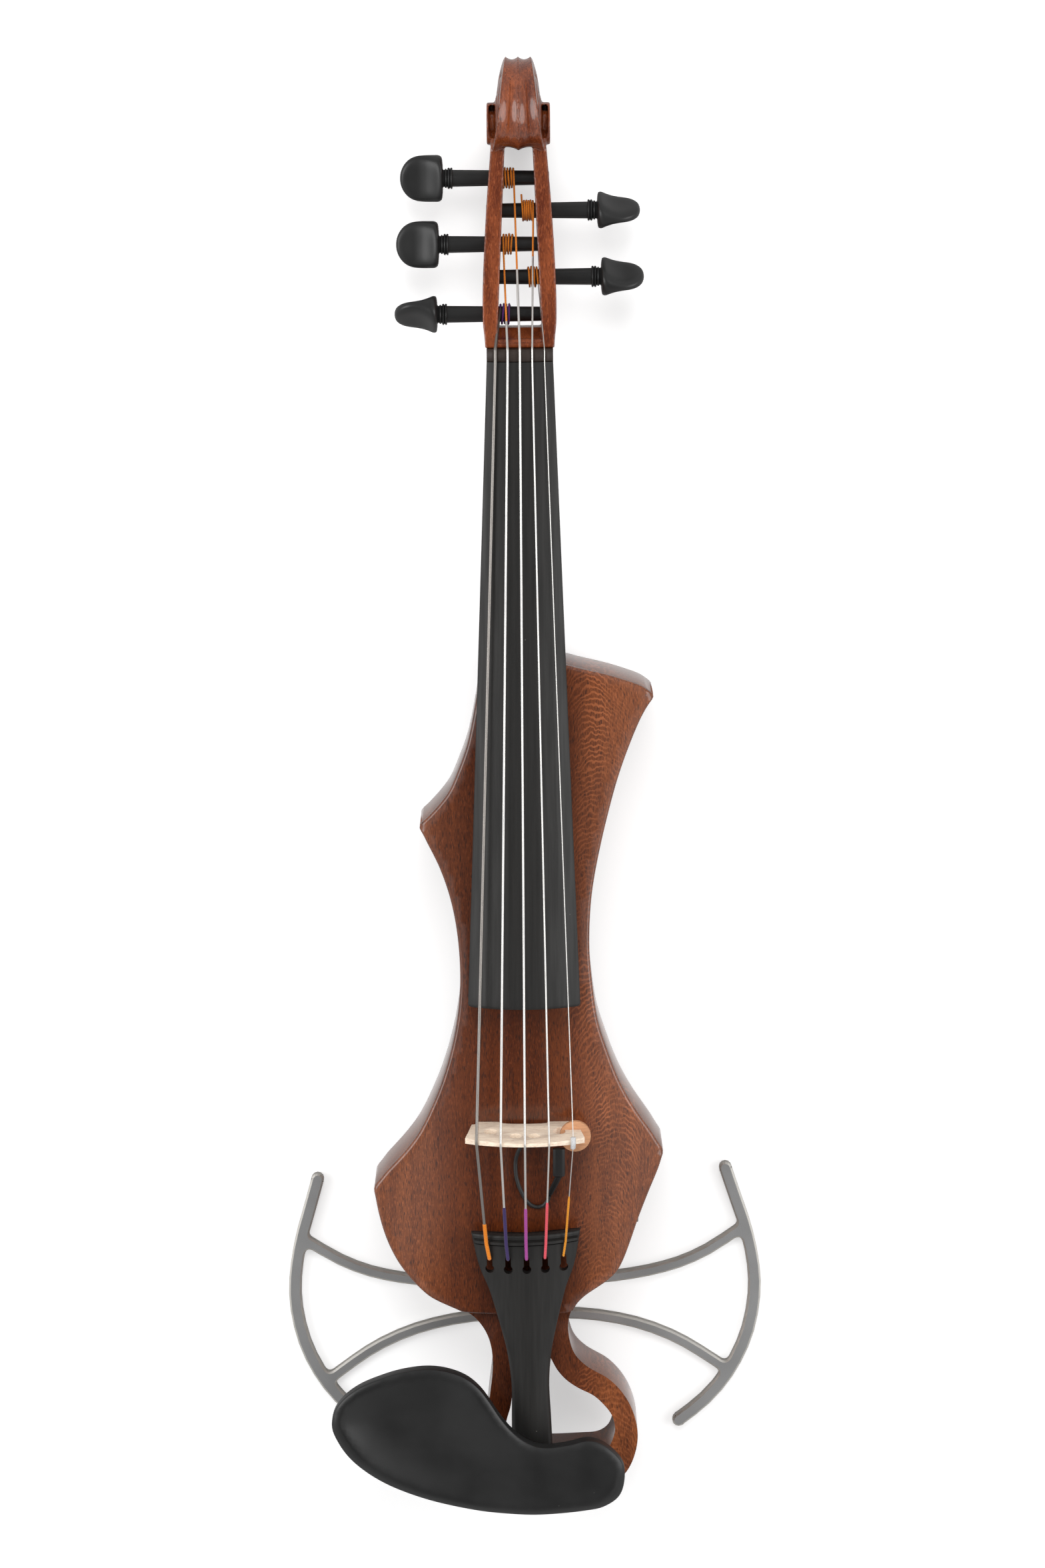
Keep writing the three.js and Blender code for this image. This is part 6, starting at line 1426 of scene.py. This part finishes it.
class VIOLIN_OT_strings(PieceOperator):
    """Five strings from the tailpiece over bridge and nut to the pegs, with silk at both ends"""

    bl_idname = "violin.strings"
    bl_label = "Strings"

    def make(self):
        longest_share, ball_depth, silk_radius = 0.96, 5.0, sizes().silk_diameter / MM / 2
        for i, name in enumerate(STRINGS):
            facts = string_facts(i)
            rise, ridge, bridge = (np.array(p[i]) for p in (LEAVING_POINTS, RIDGE_POINTS, BRIDGE_POINTS))
            x, z = facts["nut"]
            front, back = (np.array((x, y, z - NUT_SINK)) for y in (NUT_Y, NUT_BACK_Y))
            _, touch_y, touch_z = winding_touch(facts)
            end = np.array((facts["winding_x"], touch_y, touch_z))
            silk_end = ridge + (bridge - ridge) * facts["silk_end"]
            share = (facts["silk_start_y"] - NUT_BACK_Y) / (end[1] - NUT_BACK_Y)
            silk_start = back + (end - back) * min(share, longest_share)
            tucked_in = 0.02 * (bridge - ridge)
            bare = np.vstack([silk_end - tucked_in, bridge, front, back, silk_start])
            metal = "flat_wound_tungsten" if name == "c" else "flat_wound_steel"
            shape = tube(self.bent(bare), facts["radius"], sides=12)
            violin_piece(f"string_{name}_metal", shape, metal, [f"string_{name}"])
            ball = np.array(BALL_POINTS[i])
            wrapped = smooth_line([ball - (0, 0, ball_depth), ball, rise], count=12)
            wrapped = np.vstack([wrapped, evenly([rise, ridge], 6)[1:], evenly([ridge, silk_end], 14)[1:]])
            radii = np.full(len(wrapped), facts["wrap"])
            radii[-1] = facts["radius"] + 0.05
            violin_piece(f"tail_silk_{name}", tube(wrapped, radii, sides=12), f"wound_silk_{name}")
            if share < longest_share:
                shape = tube(evenly([silk_start, end], count=30), silk_radius, sides=10)
                violin_piece(f"peg_silk_{name}", shape, "wound_silk_ends")

    def bent(self, line):
        """The line with its bends over bridge and nut eased into short curves."""
        reach = 1.1
        points = [line[0]]
        for before, here, after in zip(line, line[1:], line[2:]):
            a = here + (before - here) / np.linalg.norm(before - here) * reach
            b = here + (after - here) / np.linalg.norm(after - here) * reach
            points += [(1 - t) ** 2 * a + 2 * t * (1 - t) * here + t**2 * b for t in np.linspace(0, 1, 7)]
        return np.array(points + [line[-1]])


class VIOLIN_OT_windings(PieceOperator):
    """The loops of each string on its peg, with the short end that stands off them"""

    bl_idname = "violin.windings"
    bl_label = "Windings on the pegs"

    def make(self):
        steps, unevenness, wander, lift = 40, 0.28, 0.1, 0.22
        for i, name in enumerate(STRINGS):
            facts = string_facts(i)
            peg_y, peg_z = facts["peg"]
            dip, _, _ = winding_touch(facts)
            line = []
            for k in range(int(facts["loops"] * steps) + 1):
                turn = k / steps
                angle = math.pi / 2 - dip - 2 * math.pi * turn
                reach = WINDING_RADIUS + unevenness * math.sin(1.7 * turn + i) ** 2 * min(turn, 1)
                slip = wander * math.sin(2.4 * turn * math.pi + 2 * i) * min(turn, 1)
                x = facts["winding_x"] + facts["pitch"] * (turn + slip)
                line.append((x, peg_y + reach * math.cos(angle), peg_z + reach * math.sin(angle)))
            line = np.array(line)
            way = line[-1] - line[-2]
            way /= np.linalg.norm(way)
            out = line[-1] - np.array((line[-1][0], peg_y, peg_z))
            out /= np.linalg.norm(out)
            tail = [line[-1] + way * s + out * (lift * s**1.5) for s in np.linspace(0.4, 3.4, 9)]
            silk_radius = sizes().silk_diameter / MM / 2
            shape = tube(np.vstack([line, tail]), silk_radius, sides=10)
            finish, slot = "wound_silk_ends", "orange_silk"
            if name == "c":
                finish, slot = "wound_silk_violet", "violet_silk"
            node = f"winding_{name}"
            violin_piece(f"{node}_silk", shape, finish, [node], f"peg_{name}")


class VIOLIN_OT_bridge(PieceOperator):
    """Bridge, with its knife-cut edges eased"""

    bl_idname = "violin.bridge"
    bl_label = "Bridge"

    def make(self):
        fitting("bridge", "cut", "knife_cut_plane_wood", edge=0.35)


class VIOLIN_OT_pickup(PieceOperator):
    """Pickup: its wooden disc and moulded connector, the cable's grommet, and the thin string's sleeve"""

    bl_idname = "violin.pickup"
    bl_label = "Pickup"

    def make(self):
        fitting("pickup_disc", "wood", "sanded_disc_wood", edge=0.25)
        fitting("pickup_connector", "moulded", "satin_moulded_plastic", edge=0.3)
        fitting("cable_grommet", "moulded", "satin_moulded_plastic", edge=0.15)
        fitting("e_string_sleeve", "clear", "extruded_vinyl", edge=0.1)


class VIOLIN_OT_tailpiece(PieceOperator):
    """Ebony tailpiece with its keyholes and ridge, the gut that holds it, its saddle and the end button"""

    bl_idname = "violin.tailpiece"
    bl_label = "Tailpiece"

    def make(self):
        along = np.concatenate([
            [0, 0.2, 0.6, 1.2, 2.0, 2.2, 2.45, 2.6, 2.8, 3.4, 4.0, 4.2, 4.35, 4.6, 4.8, 5.4],
            np.linspace(6.5, 107.5, 60), [108.6, 109.4, 109.8, 110],
        ])
        rings = [self.section(y) for y in along]
        plate = new_object("tailpiece_ebony", skinned(rings), finish_of("oiled_ebony"))
        eye, slit, eye_y, slit_y = 1.9, 1.2, -15.4, -10.6
        meet = math.asin(slit / eye)
        turn = np.linspace(0.5 * math.pi + meet, 2.5 * math.pi - meet, 30)
        bow_end = np.linspace(0, math.pi, 9)
        tools = []
        for i in range(5):
            middle = (i - 2) * KEYHOLE_SPACING
            hole = [(middle + eye * math.cos(a), eye_y + eye * math.sin(a)) for a in turn]
            hole += [(middle + slit * math.cos(a), slit_y + slit * math.sin(a)) for a in bow_end]
            hole = [self.turned(x, y, 0)[:2] for x, y in hole]
            tools.append(new_object("keyhole", upright_block(hole, low=45, high=75)))
        cut(plate, *tools)
        finish_mesh(plate, sharp=50)
        put_on(plate, "violin", ["tailpiece"])
        fitting("saddle", "ebony", "oiled_ebony", edge=0.3)
        fitting("end_button", "turned", "oiled_ebony", edge=0.3)
        fitting("tail_gut", "nylon", "drawn_nylon", edge=0.0)

    def turned(self, x, y, z):
        """A point of the tailpiece, which hangs a little askew."""
        askew, middle_x, wide_end_y = math.radians(1.3), 0.4, 47.0
        c, s = math.cos(askew), math.sin(askew)
        return middle_x + x * c - y * s, wide_end_y + x * s + y * c, z

    def section(self, along):
        """One cross-section, with the ridge between its two grooves near the wide end."""
        width_shares = (
            (0, 1), (0.13, 0.88), (0.235, 0.7), (0.4, 0.5), (0.5, 0.405), (0.62, 0.35), (0.78, 0.365),
            (0.92, 0.375), (1, 0.36),
        )
        wide_end, wide_radius, narrow_radius = 23.3, 42.0, 15.0
        share = along / TAILPIECE_LENGTH
        half = wide_end * read_table(width_shares, share)
        crown, thick = 68.2 - 11.7 * share, 4.6 + 2.4 * share
        ridge = 1.3 * np.interp(along, (2.5, 2.8, 4.0, 4.3), (0, 1, 1, 0))
        groove = 0.5 * np.interp(along, (2.0, 2.25, 2.5, 4.3, 4.55, 4.8), (0, 1, 0, 0, 1, 0))
        end = rounded_edge(min(along, TAILPIECE_LENGTH - along), 0.8)
        edge = 0.7 + 1.1 * min(1.0, max(0.0, share - 0.1) / 0.3)
        across = half * np.sin(np.linspace(0.5, -0.5, 45) * math.pi)
        lift = (ridge - groove) * np.clip((half - np.abs(across)) / 0.6, 0, 1)
        radius = np.interp(share, (0.1, 0.5), (wide_radius, narrow_radius))
        top = crown - bow(radius, across) + lift - end - rounded_edge(half - np.abs(across), edge)
        under = across[::-2]
        base = crown - bow(wide_radius, under) - thick + rounded_edge(half - np.abs(under), 0.5) + 0.5 * end
        ring = list(zip(across, top)) + list(zip(under, base))
        return [self.turned(x, -along, z) for x, z in ring]


class VIOLIN_OT_chinrest(PieceOperator):
    """Chinrest: a moulded cup with a rounded rim, its corks and its plated clamp"""

    bl_idname = "violin.chinrest"
    bl_label = "Chinrest"

    def make(self):
        walls_end_z = 68
        loop = eased_loop(loops_of("chinrest", walls_end_z)[0], spacing=1.6, ease=1.2)
        across = np.linspace(-84, 43, 64)
        middle = np.mean([np.interp(across, *self.edge_of(loop, pick)) for pick in (max, min)], axis=0)
        dish = sizes().chinrest_dish / MM

        # The rim is broader on the tail side, and the dish is deeper on the bass side
        blend, dish_end, soft, run_in, shallow = 14, -22, 9, 9.5, 0.28

        def top(x, y, away):
            low = np.clip((np.interp(x, across, middle) - y) / blend + 0.5, 0, 1)
            crest = 1.5 + 2.6 * low
            outside = np.clip(1 - away / crest, 0, 1) ** 2 * (0.9 + 2.0 * low)
            cup = shallow + 0.72 / (1 + np.exp((x - dish_end) / soft))
            within = 1 - np.exp(-((np.clip(away - crest, 0, None) / run_in) ** 1.4))
            return CHINREST_TOP_Z - outside - dish * cup * within

        bottom = flat_at(CHINREST_BOTTOM_Z)
        plate = carved_plate([loop], top, bottom, top_rim=0.3, bottom_rim=2.6, spacing=2.2)
        half, back, front, low, high = 4.5, -65.5, -59.5, 47.0, 64.0
        legs = []
        for x in (-12.4, 17.6):
            section = [(x - half, back), (x + half, back), (x + half, front), (x - half, front)]
            legs.append(upright_block(eased_loop(section, spacing=0.5, ease=0.5), low, high))
        shape, finish = together(plate, *legs), "satin_moulded_plastic"
        violin_piece("chinrest_moulded", shape, finish, ["chinrest"], sharp=60)
        fitting("chinrest_cork_bass", "pad", "pressed_cork", edge=0.15)
        fitting("chinrest_cork_treble", "pad", "pressed_cork", edge=0.15)
        fitting("clamp_foot_cork", "pad", "pressed_cork", edge=0.15, body="clamp_foot")
        fitting("clamp_strip", "plated", "plated_nickel", edge=0.2)
        fitting("clamp_foot", "plated", "plated_nickel", edge=0.25, body="clamp_foot")
        for barrel in ("clamp_barrel_bass", "clamp_barrel_treble"):
            fitting(barrel, "plated", "plated_nickel", edge=0.2, body=barrel)

    def edge_of(self, loop, pick):
        """Where a loop's far or near side lies, from left to right."""
        places = np.linspace(loop[:, 0].min() + 0.5, loop[:, 0].max() - 0.5, 60)
        ends = np.roll(loop, -1, axis=0)
        found = []
        for x in places:
            crossing = (loop[:, 0] - x) * (ends[:, 0] - x) <= 0
            found.append(pick(0.5 * (a[1] + b[1]) for a, b in zip(loop[crossing], ends[crossing])))
        return places, found


class VIOLIN_OT_shoulder_frame(PieceOperator):
    """Shoulder frame of anodised aluminium with bright bevelled edges, its spacers and screws"""

    bl_idname = "violin.shoulder_frame"
    bl_label = "Shoulder frame"

    def make(self):
        fillet, corner, well = 2.8, 1.4, 3.1
        outlines = [turning_left(loop) for loop in loops_of("shoulder_frame", FRAME_THICKNESS)]
        rim = milled_corners(outlines[0], left=corner, right=fillet)
        openings = [milled_corners(loop, left=fillet, right=corner) for loop in outlines[1:3]]
        plate = bevelled_plate([rim, *openings], 0, FRAME_THICKNESS, sizes().frame_edge / MM)
        made = new_object("shoulder_frame_milled", plate, finish_of("blasted_anodised_aluminium"), sharp=20)
        made.data.materials.append(finish_of("bright_milled_aluminium"))
        for face in made.data.polygons:
            face.material_index = int(len(face.vertices) == 4)
        wells = [upright_block(loop, -1, well) for loop in loops_of("shoulder_frame", 0)[3:]]
        bores = [upright_block(loop, -1, FRAME_THICKNESS + 1) for loop in outlines[3:]]
        cut(made, *[new_object("frame_tool", shape) for shape in wells + bores])
        put_on(made, "violin", ["shoulder_frame"])
        for side in ("bass", "treble"):
            spacer, screw = f"frame_spacer_{side}", f"frame_screw_{side}"
            fitting(spacer, "turned", "blasted_anodised_aluminium", edge=0.3)
            fitting(screw, "turned", "turned_steel", edge=0.2)


class VIOLIN_OT_output(PieceOperator):
    """Output socket on the treble rib, its nut, and the parts inside the body"""

    bl_idname = "violin.output"
    bl_label = "Output socket and inside parts"

    def make(self):
        fitting("output_jack", "turned", "plated_nickel", edge=0.2)
        fitting("jack_nut", "turned", "plated_nickel", edge=0.2)
        fitting("inner_lead", "jacket", "extruded_rubber", edge=0.0)
        fitting("bass_bar", "split", "split_spruce", edge=0.4)
        fitting("sound_post", "split", "split_spruce", edge=0.2)


OPERATORS = (
    VIOLIN_OT_camera,
    VIOLIN_OT_pickup_cable,
    VIOLIN_OT_stage,
    VIOLIN_OT_body,
    VIOLIN_OT_top,
    VIOLIN_OT_neck_and_scroll,
    VIOLIN_OT_fingerboard,
    VIOLIN_OT_nut,
    VIOLIN_OT_pegs,
    VIOLIN_OT_strings,
    VIOLIN_OT_windings,
    VIOLIN_OT_bridge,
    VIOLIN_OT_pickup,
    VIOLIN_OT_tailpiece,
    VIOLIN_OT_chinrest,
    VIOLIN_OT_shoulder_frame,
    VIOLIN_OT_output,
)


class VIOLIN_PT_looks(bpy.types.Panel):
    """Lists the violin's pieces with their sizes and colours"""

    bl_idname = "VIOLIN_PT_looks"
    bl_label = "Violin"
    bl_space_type = "VIEW_3D"
    bl_region_type = "UI"
    bl_category = "Violin"

    def draw(self, context):
        layout = self.layout
        for operator in OPERATORS:
            layout.operator(operator.bl_idname)
        for group in (context.scene.violin_sizes, context.scene.violin_colours):
            for name in group.bl_rna.properties.keys():
                if name not in ("rna_type", "name"):
                    layout.prop(group, name)


CLASSES = (ViolinSizes, ViolinColours, *OPERATORS, VIOLIN_PT_looks)


def register():
    """Makes the add-on's classes and its two groups of properties known."""
    for cls in CLASSES:
        bpy.utils.register_class(cls)
    bpy.types.Scene.violin_sizes = bpy.props.PointerProperty(type=ViolinSizes)
    bpy.types.Scene.violin_colours = bpy.props.PointerProperty(type=ViolinColours)


def unregister():
    """Takes back what register did."""
    del bpy.types.Scene.violin_colours
    del bpy.types.Scene.violin_sizes
    for cls in reversed(CLASSES):
        bpy.utils.unregister_class(cls)


def main():
    """Builds every piece in order and writes how large the solids and the pieces are."""
    register()
    for operator in OPERATORS:
        group, name = operator.bl_idname.split(".")
        getattr(getattr(bpy.ops, group), name)()


if __name__ == "__main__":
    main()
